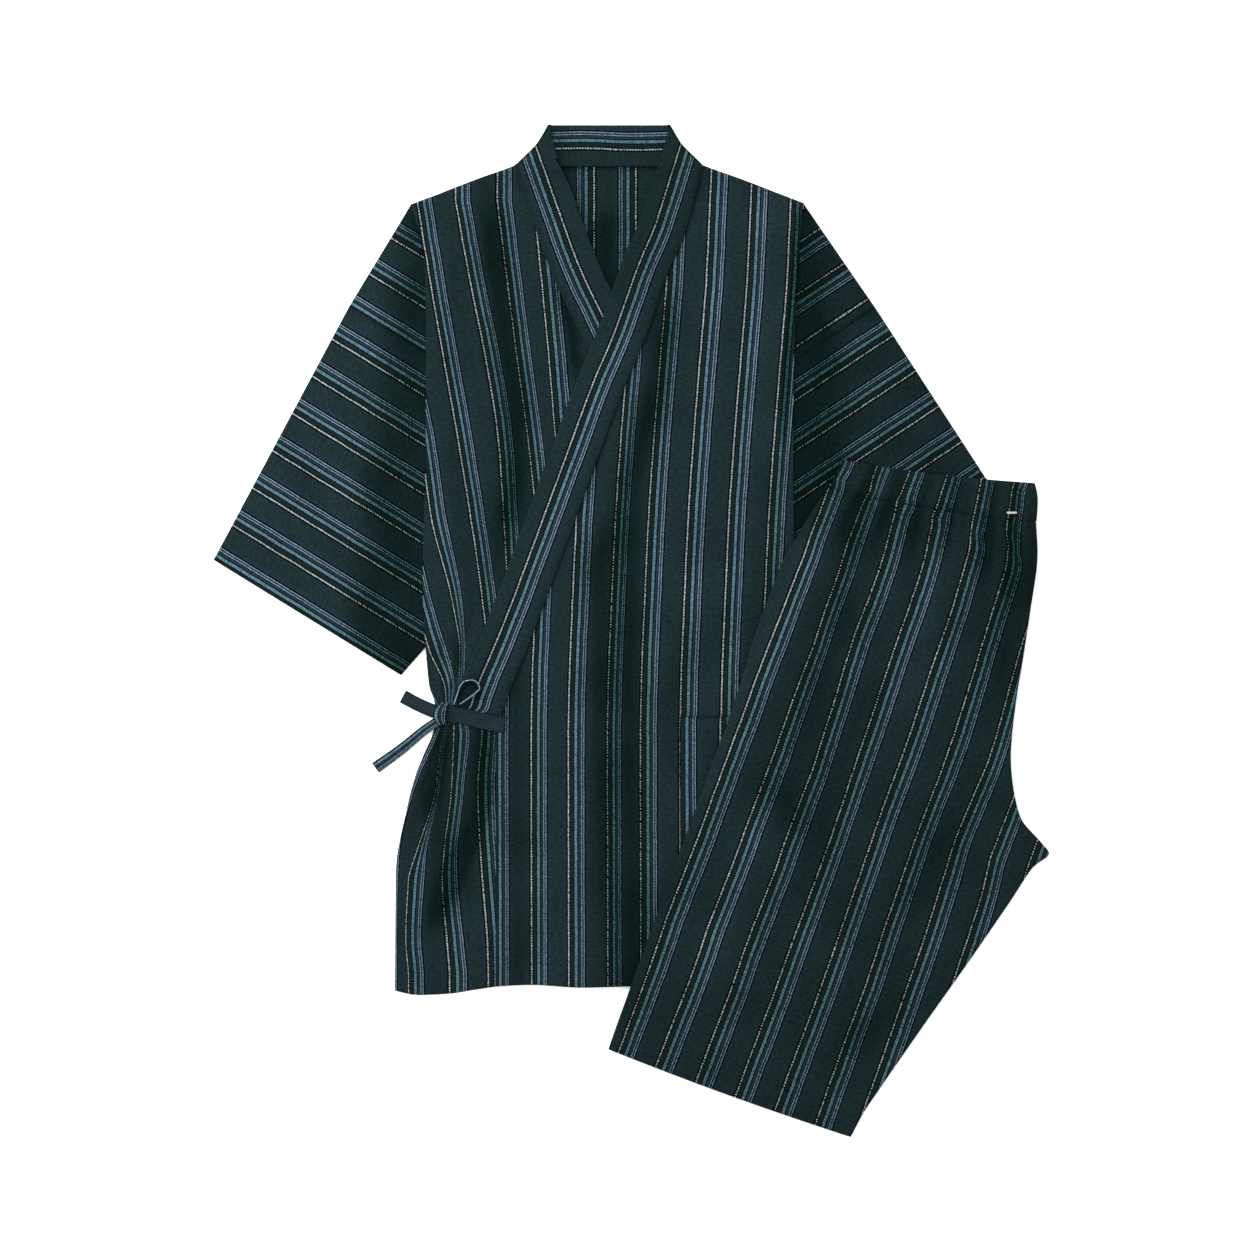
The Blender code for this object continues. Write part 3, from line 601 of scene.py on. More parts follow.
def crinkle_group() -> bpy.types.NodeTree:
    """Group for the crinkled weave: short ripples across the warp, threads and a slow mottle.

    Returns:
        The group, with a height and a shade to multiply colours by as outputs. The shade is
        lighter where the ripples and threads rise and darker where they sink, partly uneven yarn
        tone and partly painted shade of the crinkle, with the slow mottle over it.
    """
    group, build = new_group(
        "crinkle_weave",
        {"Weave": ("NodeSocketVector", None), "Ripple width": ("NodeSocketFloat", 5.0),
         "Ripple pitch": ("NodeSocketFloat", 2.4), "Mottle": ("NodeSocketFloat", 0.5),
         "Slow mottle": ("NodeSocketFloat", 0.16)},
        {"Height": "NodeSocketFloat", "Shade": "NodeSocketFloat"})
    given = build.add("NodeGroupInput").outputs
    parts = build.add("ShaderNodeSeparateXYZ", {0: given["Weave"]}).outputs
    across = build.maths("MULTIPLY", parts[0], REPEAT)
    along = build.maths("MULTIPLY", parts[1], REPEAT)
    ripple = build.add("ShaderNodeCombineXYZ", {
        0: build.maths("DIVIDE", across, given["Ripple width"]),
        1: build.maths("DIVIDE", along, given["Ripple pitch"])}).outputs[0]
    plain = build.add("ShaderNodeCombineXYZ", {0: across, 1: along}).outputs[0]
    ripples = build.noise(ripple, 1.0, 1.0, "2D")
    threads = build.noise(plain, 0.75, 2.0, "2D")
    slow_mottle = build.noise(plain, 0.035, 3.0, "2D")
    height = build.maths("MULTIPLY_ADD", threads, 0.3, build.maths("MULTIPLY", ripples, 0.9))
    # Painted shade of the crinkle: the ripples and threads that raise the bump also lighten the
    # colour, and darken it in their hollows; the slow mottle darkens and lightens it unevenly.
    uneven = build.maths("SUBTRACT", ripples, 0.5)
    shade = build.maths("MULTIPLY_ADD", uneven, given["Mottle"], 1.0)
    grain = build.maths("MULTIPLY", given["Mottle"], 0.9)
    shade = build.maths("MULTIPLY_ADD", build.maths("SUBTRACT", threads, 0.5), grain, shade)
    shade = build.maths("MULTIPLY_ADD", build.maths("SUBTRACT", slow_mottle, 0.5), given["Slow mottle"], shade)
    build.add("NodeGroupOutput", {"Height": height, "Shade": shade})
    return group


@dataclass(frozen=True)
class Cotton:
    """A crinkled cotton, striped or plain.

    Attributes:
        name: The material's name.
        striped: Whether the warp is striped.
        plain: Dye of the plain cloth.
        mottle: How much the crinkle changes its shade.
        relief: Height of the crinkle.
        knots: How strongly the stripes break into knots.
        roughness: Roughness of the fibres.
    """

    name: str
    striped: bool = True
    plain: Colour = GROUND
    mottle: float = 0.85
    relief: float = 0.5
    knots: float = 1.0
    roughness: float = 0.92

    def build(self, groups: dict[str, bpy.types.NodeTree]) -> bpy.types.Material:
        """Make the material.

        Args:
            groups: The shared node groups.

        Returns:
            The material.
        """
        material = bpy.data.materials.new(self.name)
        material.use_nodes = True
        build = NodeBuilder(material.node_tree)
        shader = material.node_tree.nodes["Principled BSDF"]
        weave = build.add("ShaderNodeUVMap", uv_map="weave").outputs[0]
        crinkle = build.add("ShaderNodeGroup", node_tree=groups["crinkle"])
        material.node_tree.links.new(weave, crinkle.inputs["Weave"])
        crinkle.inputs["Mottle"].default_value = self.mottle
        height = crinkle.outputs["Height"]
        # The shade attribute holds the painted shade of folds, hollows and cloth lying beside
        # higher parts.
        shade = build.add("ShaderNodeAttribute", attribute_name="shade")
        if self.striped:
            stripes = build.add("ShaderNodeGroup", node_tree=groups["stripes"])
            material.node_tree.links.new(weave, stripes.inputs["Weave"])
            # Knots stand out more where the painted shade is deeper: painted shade of the crinkle
            # there.
            knots = build.maths("MULTIPLY_ADD", shade.outputs["Fac"], 0.65 * self.knots,
                                0.6 * self.knots)
            material.node_tree.links.new(knots, stripes.inputs["Knot depth"])
            colour = stripes.outputs["Colour"]
            height = build.maths("MULTIPLY_ADD", stripes.outputs["Height"], 0.35, height)
        else:
            parts = build.add("ShaderNodeSeparateXYZ", {0: weave}).outputs
            ribs = build.maths("SINE", build.maths("MULTIPLY", parts[0], 2 * math.pi * 14.0))
            ribs = build.maths("MULTIPLY_ADD", ribs, 0.5, 0.5)
            rib = tuple(min(1.0, 1.7 * channel) for channel in self.plain)
            colour = build.add("ShaderNodeMix", {0: ribs, 6: (*self.plain, 1.0), 7: (*rib, 1.0)},
                               data_type="RGBA").outputs[2]
        lit = build.add("ShaderNodeVectorMath", {0: colour, "Scale": crinkle.outputs["Shade"]},
                        operation="SCALE")
        # Painted shade: the colour is multiplied towards the shade tint as far as the shade
        # attribute says.
        shaded = build.add("ShaderNodeMix", {0: shade.outputs["Fac"], 6: lit.outputs[0],
                                             7: (*PAINTED_SHADE_TINT, 1.0)},
                           data_type="RGBA", blend_type="MULTIPLY")
        bump = build.add("ShaderNodeBump", {"Height": height, "Distance": self.relief * MM,
                                            "Strength": 1.0})
        material.node_tree.links.new(shaded.outputs[2], shader.inputs["Base Color"])
        material.node_tree.links.new(bump.outputs[0], shader.inputs["Normal"])
        shader.inputs["Roughness"].default_value = self.roughness
        shader.inputs["Specular IOR Level"].default_value = 0.025
        return material


@dataclass(frozen=True)
class SewingThread:
    """A twisted sewing thread.

    Attributes:
        name: The material's name.
        colour: Its dye.
        roughness: Roughness of the fibres.
    """

    name: str
    colour: Colour
    roughness: float = 0.7

    def build(self, groups: dict[str, bpy.types.NodeTree]) -> bpy.types.Material:
        """Make the material.

        Args:
            groups: The shared node groups, which a thread doesn't need.

        Returns:
            The material.
        """
        material = bpy.data.materials.new(self.name)
        material.use_nodes = True
        build = NodeBuilder(material.node_tree)
        shader = material.node_tree.nodes["Principled BSDF"]
        place = build.add("ShaderNodeTexCoord").outputs["Object"]
        twist = build.add("ShaderNodeTexWave",
                          {"Vector": place, "Scale": 900.0, "Distortion": 2.0},
                          bands_direction="DIAGONAL").outputs["Fac"]
        # Darker in the twist's grooves, where the bump sinks: painted shade of the twist.
        dark = tuple(0.6 * channel for channel in self.colour)
        mixed = build.add("ShaderNodeMix", {0: twist, 6: (*dark, 1.0), 7: (*self.colour, 1.0)},
                          data_type="RGBA")
        bump = build.add("ShaderNodeBump", {"Height": twist, "Distance": 0.15 * MM})
        material.node_tree.links.new(mixed.outputs[2], shader.inputs["Base Color"])
        material.node_tree.links.new(bump.outputs[0], shader.inputs["Normal"])
        shader.inputs["Roughness"].default_value = self.roughness
        shader.inputs["Specular IOR Level"].default_value = 0.2
        return material


class Finish(Enum):
    """Finish of a piece."""

    STRIPED = Cotton("striped_crinkle_cotton")
    SLEEVE = Cotton("striped_sleeve_cotton", mottle=0.95, relief=0.6, knots=0.95)
    TROUSER = Cotton("striped_trouser_cotton", knots=1.2)
    PLAIN = Cotton("plain_tie_cotton", striped=False, plain=linear(34, 48, 54), mottle=0.5)
    MARK = SewingThread("white_bar_thread", (0.6, 0.61, 0.6))
    STITCH = SewingThread("navy_sewing_thread", linear(22, 34, 42))


@dataclass(frozen=True)
class Cut:
    """One cut piece of cloth, and how it is laid.

    Attributes:
        node: Solid of the model that the piece stands for, which also names it.
        flat: Width and length of what shows, cut flat, in metres; not used.
        held: How it is held; not used.
        rests_on: What it lies on; not used.
        area: Its flat area in square metres, where it isn't a rectangle; not used.
        slot: Its material slot; not used.
        finish: Its finish.
        thickness: Thickness of the shell.
        soft: Length over which it bridges a step, in cells of the part's source.
        margin: Cells by which it keeps off the edges beside it.
        rim: Shape of its edge.
        beside: Whether it meets the last piece edge to edge and isn't carried by it.
    """

    node: str
    flat: tuple[float, float]
    held: Held = Held.LAID
    rests_on: tuple[str, ...] = ()
    area: float | None = None
    slot: Slot = Slot.STRIPED
    finish: Finish = Finish.STRIPED
    thickness: float = GAUGE.layer
    soft: float = 3
    margin: int = 1
    rim: Rim = Rim.CUT
    beside: bool = False

    @property
    def name(self) -> str:
        """Name of the piece."""
        return f"cloth_{self.node}"


@dataclass
class Laid:
    """A piece where it lies, on which stitches are sewn.

    Attributes:
        plan: Points on the floor, over rows and columns.
        high: Height of its top side.
        stations: Place of each row along the piece.
        shares: Share of the width at each column.
    """

    plan: Array
    high: Array
    stations: Array
    shares: Array

    def trace(self, along: Array, share: Array, lift: float = 0.1) -> Array:
        """Points on the top side.

        Args:
            along: Place of each point along the piece.
            share: Share of the width at each point.
            lift: Height over the cloth.

        Returns:
            The points in millimetres.
        """
        order = np.argsort(self.stations)
        row = np.interp(along, self.stations[order], order.astype(float))
        column = np.interp(share, self.shares, np.arange(len(self.shares)))
        r = np.clip(np.floor(row).astype(int), 0, self.high.shape[0] - 2)
        c = np.clip(np.floor(column).astype(int), 0, self.high.shape[1] - 2)
        fr, fc = (row - r)[:, None], (column - c)[:, None]
        whole = np.dstack((self.plan, self.high + lift))
        low = whole[r, c] * (1 - fc) + whole[r, c + 1] * fc
        high = whole[r + 1, c] * (1 - fc) + whole[r + 1, c + 1] * fc
        return low * (1 - fr) + high * fr


@dataclass
class Workroom:
    """Attributes:
        materials: Built material of each finish.
        pile: The cloth laid so far.
    """

    materials: dict[Finish, bpy.types.Material]
    pile: Pile = field(default_factory=Pile)

    def add_piece(self, name: str, points: Array, faces: Array, weave: Array,
                  finish: Finish) -> bpy.types.Object:
        """Make a closed mesh with the weave as its UV map.

        Args:
            name: The piece's name.
            points: Vertices in millimetres.
            faces: Vertex numbers of the quads.
            weave: Repeats of the stripes across and along, and depth of painted shade, at each
                vertex.
            finish: The piece's finish.

        Returns:
            The piece.
        """
        mesh = bpy.data.meshes.new(name)
        mesh.from_pydata((points * MM).tolist(), [], faces.tolist())
        shape = bmesh.new()
        shape.from_mesh(mesh)
        bmesh.ops.recalc_face_normals(shape, faces=shape.faces)
        shape.to_mesh(mesh)
        shape.free()
        corners = np.empty(len(mesh.loops), dtype=np.int32)
        mesh.loops.foreach_get("vertex_index", corners)
        mesh.uv_layers.new(name="weave").data.foreach_set("uv", weave[corners, :2].ravel())
        # Depth of painted shade at each vertex, which the material darkens the colour by.
        shade = np.clip(weave[:, 2], 0.0, 1.0).astype(np.float32)
        mesh.attributes.new("shade", "FLOAT", "POINT").data.foreach_set("value", shade)
        mesh.shade_smooth()
        mesh.materials.append(self.materials[finish])
        piece = bpy.data.objects.new(name, mesh)
        bpy.context.scene.collection.objects.link(piece)
        return piece

    def declare(self, piece: bpy.types.Object, cut: Cut) -> None:
        """Tell the frame what a finished piece is, and report it."""
        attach(piece, "root")
        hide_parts(cut.node)
        triangles = sum(len(face.vertices) - 2 for face in piece.data.polygons)
        area = sum(face.area for face in piece.data.polygons) / 2
        LOG.info("%s: %d triangles, %.4f square metres a side", piece.name, triangles, area)

    def lay_sheet(self, cut: Cut, plan: Array, weave: Array, stations: Array, shares: Array,
                  fold: Array | float = 0.0, crown: Array | float = 0.0) -> Laid:
        """Lay a closed shell on the pile.

        Args:
            cut: The piece.
            plan: Its points on the floor, over rows and columns.
            weave: Repeats of the stripes across and along, and depth of painted shade, at each
                point.
            stations: Place of each row along the piece.
            shares: Share of the width at each column.
            fold: Lift of the whole cloth.
            crown: Extra thickness on its top side.

        Returns:
            The piece where it lies.
        """
        if not cut.beside:
            self.pile.settle()
        low = self.pile.rest(plan, cut.soft, cut.margin) + fold
        high = low + cut.thickness + crown
        self.pile.add(plan, high)
        rows, columns = high.shape
        count = rows * columns
        top = np.dstack((plan, high)).reshape(count, 3)
        bottom = np.dstack((plan, low)).reshape(count, 3)
        flat_weave = weave.reshape(count, 3)
        index = np.arange(count).reshape(rows, columns)
        loop = boundary(index)
        outward = edge_normals(top[loop, :2])
        blocks, maps, rings = [top], [flat_weave], [loop]
        for share, stand_out in cut.rim.value:
            ring = bottom[loop] + share * (top[loop] - bottom[loop])
            ring[:, :2] += stand_out * outward
            rings.append(np.arange(len(loop)) + sum(len(block) for block in blocks))
            blocks.append(ring)
            maps.append(flat_weave[loop])
        offset = sum(len(block) for block in blocks)
        blocks.append(bottom)
        maps.append(flat_weave)
        rings.append(loop + offset)
        faces = [grid_faces(index), grid_faces((index + offset)[:, ::-1])]
        faces += [wrap_faces(np.vstack(pair)) for pair in zip(rings, rings[1:])]
        piece = self.add_piece(cut.name, np.vstack(blocks), np.vstack(faces), np.vstack(maps),
                               cut.finish)
        self.declare(piece, cut)
        return Laid(plan, high, stations, shares)

    def lay_tube(self, cut: Cut, plan: Array, across: Array, weave: Array, air: Array,
                 stations: Array, shares: Array) -> Laid:
        """Lay a flattened tube, open at both ends, beside the last piece.

        Args:
            cut: The piece.
            plan: Points on the floor of its upper layer, over rows and columns.
            across: Direction from its fold to its far edge.
            weave: Repeats of the stripes across and along, and depth of painted shade, at each
                point.
            air: Height of the hollow at each point.
            stations: Place of each row along the piece.
            shares: Share of the width at each column.

        Returns:
            The piece where it lies.
        """
        low = self.pile.rest(plan, cut.soft, cut.margin)
        high = low + 2 * cut.thickness + air
        self.pile.add(plan, high)
        outer = ring_of(plan, low, high, across * cut.thickness * 0.5)
        width = np.linalg.norm(plan[:, -1] - plan[:, 0], axis=-1)[:, None]
        inset = np.clip(shares * width, cut.thickness, width - cut.thickness)
        hollow = plan[:, :1] + across * inset[..., None]
        inner = ring_of(hollow, low + cut.thickness, high - cut.thickness,
                        across * cut.thickness * 0.25)
        mapped = np.concatenate((weave, weave[:, -1:], weave[:, ::-1], weave[:, :1]), axis=1)
        rows, around = outer.shape[:2]
        outside = np.arange(rows * around).reshape(rows, around)
        inside = outside + rows * around
        faces = [wrap_faces(outside), wrap_faces(inside[::-1]),
                 wrap_faces(np.vstack((outside[0][::-1], inside[0][::-1]))),
                 wrap_faces(np.vstack((outside[-1], inside[-1])))]
        points = np.vstack((outer.reshape(-1, 3), inner.reshape(-1, 3)))
        maps = np.vstack((mapped.reshape(-1, 3), mapped.reshape(-1, 3)))
        piece = self.add_piece(cut.name, points, np.vstack(faces), maps, cut.finish)
        self.declare(piece, cut)
        return Laid(plan, high, stations, shares)


def ring_of(plan: Array, low: Array, high: Array, bulge: Array) -> Array:
    """Rings round a flat tube: over the top, the far edge, back below, and the near edge.

    Args:
        plan: Points on the floor.
        low: Height of the underside.
        high: Height of the top side.
        bulge: How far the two edges stand out.

    Returns:
        The rings' points.
    """
    top = np.dstack((plan, high))
    bottom = np.dstack((plan, low))[:, ::-1]
    far = 0.5 * (top[:, -1:] + bottom[:, :1])
    near = 0.5 * (top[:, :1] + bottom[:, -1:])
    far[..., :2] += bulge
    near[..., :2] -= bulge
    return np.concatenate((top, far, bottom, near), axis=1)


def woven_with_shade(across: Array, along: Array, shade: Array | float = 0.2) -> Array:
    """Weave from repeats across and millimetres along, with the depth of painted shade in its
    folds.
    """
    return np.stack(np.broadcast_arrays(across, along / REPEAT, shade), axis=-1)


@dataclass(frozen=True)
class JacketOutline:
    """Shape of the jacket's body: its shoulders, its hem and its two side folds."""

    shoulder_x: Table = (88, 120, 186)
    shoulder_fall: Table = (0, 11, 37)
    shoulder_fade: float = 250.0
    hem_x: Table = (-200, -178, -151, -124, -98, -73, -26, 19, 110, 200)
    hem_y: Table = (-767, -771, -770, -766, -762.5, -761.5, -764, -763, -762, -766)
    hem_row: float = -764.0
    hem_fade: float = 160.0
    right_y: Table = (-36, -75, -115, -255, -385, -450, -484, -499, -514, -529, -545, -571, -599,
                      -655, -766)
    right_x: Table = (-184, -174, -170, -170, -173, -170, -167, -162, -161, -164, -171, -181, -188,
                      -198, -199)
    left_y: Table = (-36, -75, -115, -218, -292, -400, -497, -600, -766)
    left_x: Table = (181, 177, 174, 171, 171, 174, 178, 185, 198)
    tuck: float = 9.0
    tuck_end: float = -515.0
    tuck_fade: float = 20.0

    def height(self, x: Array, rows: Array) -> Array:
        """Height of each point of the cross rows, which follow the shoulders and the hem."""
        shoulder = smooth(self.shoulder_x, self.shoulder_fall, np.abs(x))
        bow = smooth(self.hem_x, self.hem_y, x) - self.hem_row
        rows = rows[:, None]
        return rows - shoulder * np.maximum(1.0 + rows / self.shoulder_fade, 0.0) + bow * ease(
            (self.hem_row + self.hem_fade - rows) / self.hem_fade)

    def side(self, rows: Array, right: bool) -> Array:
        """Side fold of the body at each cross row's outer end."""
        fall = self.shoulder_fall[-1] * np.maximum(1.0 + rows / self.shoulder_fade, 0.0)
        table = (self.right_y, self.right_x) if right else (self.left_y, self.left_x)
        return smooth(*table, rows - fall)

    def front(self, seam_y: Table, seam_x: Table, right: bool, rows: Array,
              share: Array) -> tuple[Array, Array]:
        """Plan of a front, from under its collar band out to its side fold.

        Args:
            seam_y: Rows of the seam with the band.
            seam_x: Places across of that seam.
            right: Whether it is the wearer's right front.
            rows: Its cross rows.
            share: Shares of its width.

        Returns:
            Places across and along.
        """
        inner, outer = smooth(seam_y, seam_x, rows), self.side(rows, right)
        under_band = self.tuck * ease((rows - self.tuck_end) / self.tuck_fade)
        inner = inner - np.sign(outer - inner) * under_band
        x = inner[:, None] + (outer - inner)[:, None] * share
        return x, self.height(x, rows)


OUTLINE = JacketOutline()


def hem_crown(from_edge: Array, width: float, ply: float = 0.45) -> Array:
    """Extra thickness of a turned and stitched hem.

    Args:
        from_edge: Distance from the hem's edge.
        width: Width of the hem.
        ply: Thickness of the turned cloth.

    Returns:
        The thickness, with a dip under the stitches.
    """
    dip = np.exp(-((from_edge - width + 1.5) / 1.6) ** 2)
    return ply * ease((width + 1.0 - from_edge) / 2.0) - 0.3 * dip


@dataclass
class BackPanel:
    """Back of the jacket, seen on its inside in the neck opening."""

    rows: int = 90
    columns: int = 90
    side_inset: float = 3.0
    hem_rise: float = 3.0
    neck_tuck: float = 0.6
    white_line: float = -13.9
    pitch: float = 38.9
    # Bands of painted shade on the back where it shows inside the neck opening.
    painted_shades: tuple[Crease, ...] = (
        Crease(((-2, -30), (-3, -90), (-3, -160)), 0.6, 20.0, 0.2),
        Crease(((-52, 20), (-40, -30), (-18, -90)), 0.6, 17.0, 0.2),
    )
    cut: Cut = Cut("back", (0.392, 0.764), area=0.2646, soft=0)

    def lay(self, room: Workroom) -> Laid:
        """Lay the panel on the floor.

        Args:
            room: Where it is laid.

        Returns:
            The panel where it lies.
        """
        rows = OUTLINE.hem_row * np.linspace(0.0, 1.0, self.rows) ** 1.5
        right = OUTLINE.side(rows, True) + self.side_inset
        left = OUTLINE.side(rows, False) - self.side_inset
        share = np.linspace(0.0, 1.0, self.columns)
        x = right[:, None] + (left - right)[:, None] * share
        y = OUTLINE.height(x, rows) + self.hem_rise * (rows / OUTLINE.hem_row)[:, None]
        y[0] += self.neck_tuck
        swell = 0.35 * ripple_field(x, y, 46.0, 3) * ease(-rows / 30.0)[:, None]
        # The weave carries painted shade, deep over the whole back and deeper in the bands.
        return room.lay_sheet(self.cut, Garment.JACKET.place(x, y),
                              woven_with_shade(-(x - self.white_line) / self.pitch, y,
                                    0.42 + creased(self.painted_shades, x, y)), rows, share,
                              crown=np.minimum(swell, 0.2))


@dataclass
class CollarBand:
    """The long collar band, in the stretches that show."""

    side_y: Table = (0, 10, 21, 38.5)
    side_x: Table = (87, 77.5, 67, 56.5)
    top: float = 38.5
    width_y: Table = (-40, 0, 14, 27, 38.5)
    width: Table = (43, 38, 23, 8.5, 2)
    corner_run: tuple[float, float] = (-0.38, -0.92)
    corner_pull: float = 2.0
    corner_at: float = -4.0
    corner_blend: float = 15.0
    corner_blur: int = 8
    neck_white: float = 16.3
    right_white: float = 17.4
    left_white: float = 14.9
    straight_end: float = -430.0
    straight_start: float = -55.0
    end: float = -512.0
    end_slant: tuple[float, float] = (-1.05, 0.17)
    end_turn: tuple[float, float] = (-410.0, 90.0)

    def lay_neck(self, room: Workroom) -> Laid:
        """Lay the stretch behind the neck, seen on its inside.

        Args:
            room: Where it is laid.

        Returns:
            The stretch where it lies.
        """
        cut = Cut("collar_back", (0.174, 0.0385), area=0.0054, thickness=GAUGE.band, soft=0)
        heights = np.linspace(0.2, self.top, 16)
        half = smooth(self.side_y, self.side_x, heights) - 2.0
        share = np.linspace(-1.0, 1.0, 60)
        x = half[:, None] * share
        y = np.broadcast_to(heights[:, None], x.shape)
        # Painted shade: lighter towards the band's top edge, deeper towards its end on the
        # wearer's right.
        weave = woven_with_shade((y - self.neck_white + 0.8 * np.sin(x / 17.0)) / REPEAT, x,
                      0.35 - 0.25 * ease((y - 14.0) / 20.0) + 0.35 * ease((-30.0 - x) / 20.0))
        crown = 0.3 * ripple_field(x, y, 30.0, 5) - 0.2 * np.exp(-((y - 2.5) / 1.5) ** 2)
        return room.lay_sheet(cut, Garment.JACKET.place(x, y), weave, heights,
                              (share + 1) / 2, crown=np.minimum(crown, 0.2))

    def plan(self, sign: float, seam_y: Table, seam_x: Table,
             share: Array) -> tuple[Array, Array, Array, Array]:
        """Plan of the band from the top corner down along its seam.

        Args:
            sign: Side of the jacket, 1 for the wearer's left.
            seam_y: Rows of the seam with the front.
            seam_x: Places across of that seam.
            share: Shares of the band's width.

        Returns:
            Rows, points, distance along, and width at each row.
        """
        rows = np.concatenate((np.linspace(self.top, 0.0, 16)[:-1],
                               np.linspace(0.0, self.end, 172)))
        corner = smooth(self.side_y, self.side_x, np.maximum(rows, 0.0)) * sign
        lower = smooth(seam_y, seam_x, np.minimum(rows, 0.0))
        outer = np.stack((np.where(rows > 0, corner, lower), rows), axis=-1)
        run = unit(np.gradient(outer, axis=0))
        run[rows >= 0] += self.corner_pull * np.array((self.corner_run[0] * sign,
                                                       self.corner_run[1]))
        held = np.searchsorted(-rows, -self.straight_end)
        run[held:] = run[held]
        run = unit(run)
        blend = np.exp(-((rows - self.corner_at) / self.corner_blend) ** 2)[:, None]
        mean = unit(np.stack([blur_line(run[:, k], self.corner_blur) for k in (0, 1)], axis=-1))
        run = unit(run * (1 - blend) + mean * blend)
        inward = np.stack((run[:, 1], -run[:, 0]), axis=-1) * sign
        level = ease((self.end_turn[0] - rows) / self.end_turn[1])[:, None]
        slant = np.array((self.end_slant[0] * sign, self.end_slant[1]))
        inward = inward * (1 - level) + slant * level
        width = smooth(self.width_y, self.width, rows)
        points = outer[:, None, :] + inward[:, None, :] * (share[None, :, None]
                                                           * width[:, None, None])
        steps = np.linalg.norm(np.diff(outer, axis=0), axis=1)
        return rows, points, np.concatenate(([0.0], np.cumsum(steps))), width

    def lay_side(self, room: Workroom, right: bool, seam_y: Table, seam_x: Table) -> Laid:
        """Lay the stretch down one front.

        Args:
            room: Where it is laid.
            right: Whether it runs down the wearer's right front.
            seam_y: Rows of the seam with the front.
            seam_x: Places across of that seam.

        Returns:
            The stretch where it lies.
        """
        share = np.linspace(0.0, 1.0, 17)
        sign = -1.0 if right else 1.0
        rows, points, along, width = self.plan(sign, seam_y, seam_x, share)
        across = share[None, :] * width[:, None]
        from_fold = width[:, None] - across
        mark = np.searchsorted(-rows, -self.straight_start)
        normal = unit(points[mark, 0] - points[mark, -1])
        from_fold = np.where(rows[:, None] > self.straight_start,
                             (points - points[mark, -1]) @ normal, from_fold)
        # Painted shade: even on the right band, deeper towards the neck on the left band.
        if right:
            count, shade = (from_fold - self.right_white) / REPEAT, 0.2
        else:
            count = (from_fold - self.left_white) / REPEAT
            shade = 0.12 + 0.3 * ease((rows + 190.0) / 90.0)[:, None]
        node, area = ("collar_right", 0.0232) if right else ("collar_left", 0.0236)
        cut = Cut(node, (0.043, 0.58), area=area, thickness=GAUGE.band, soft=2, rim=Rim.FOLD,
                  rests_on=("cloth_right_front",) if right else ("cloth_left_front",))
        # The band sinks into a ditch along its seam with the front, and painted shade darkens that
        # ditch.
        ditch = np.exp(-((across - 1.2) / 1.3) ** 2)
        shade = shade + 0.35 * ditch
        crown = 0.25 * ripple_field(across, along[:, None], 34.0, 11 + right) - 0.4 * ditch
        plan = Garment.JACKET.place(points[..., 0], points[..., 1])
        return room.lay_sheet(cut, plan, woven_with_shade(count, -along[:, None], shade), rows, share,
                              crown=np.minimum(crown, 0.25))


def blur_line(values: Array, reach: int) -> Array:
    """Mean of each value and its neighbours, with the ends held."""
    padded = np.pad(values, reach, mode="edge")
    return np.convolve(padded, np.ones(2 * reach + 1) / (2 * reach + 1), mode="valid")


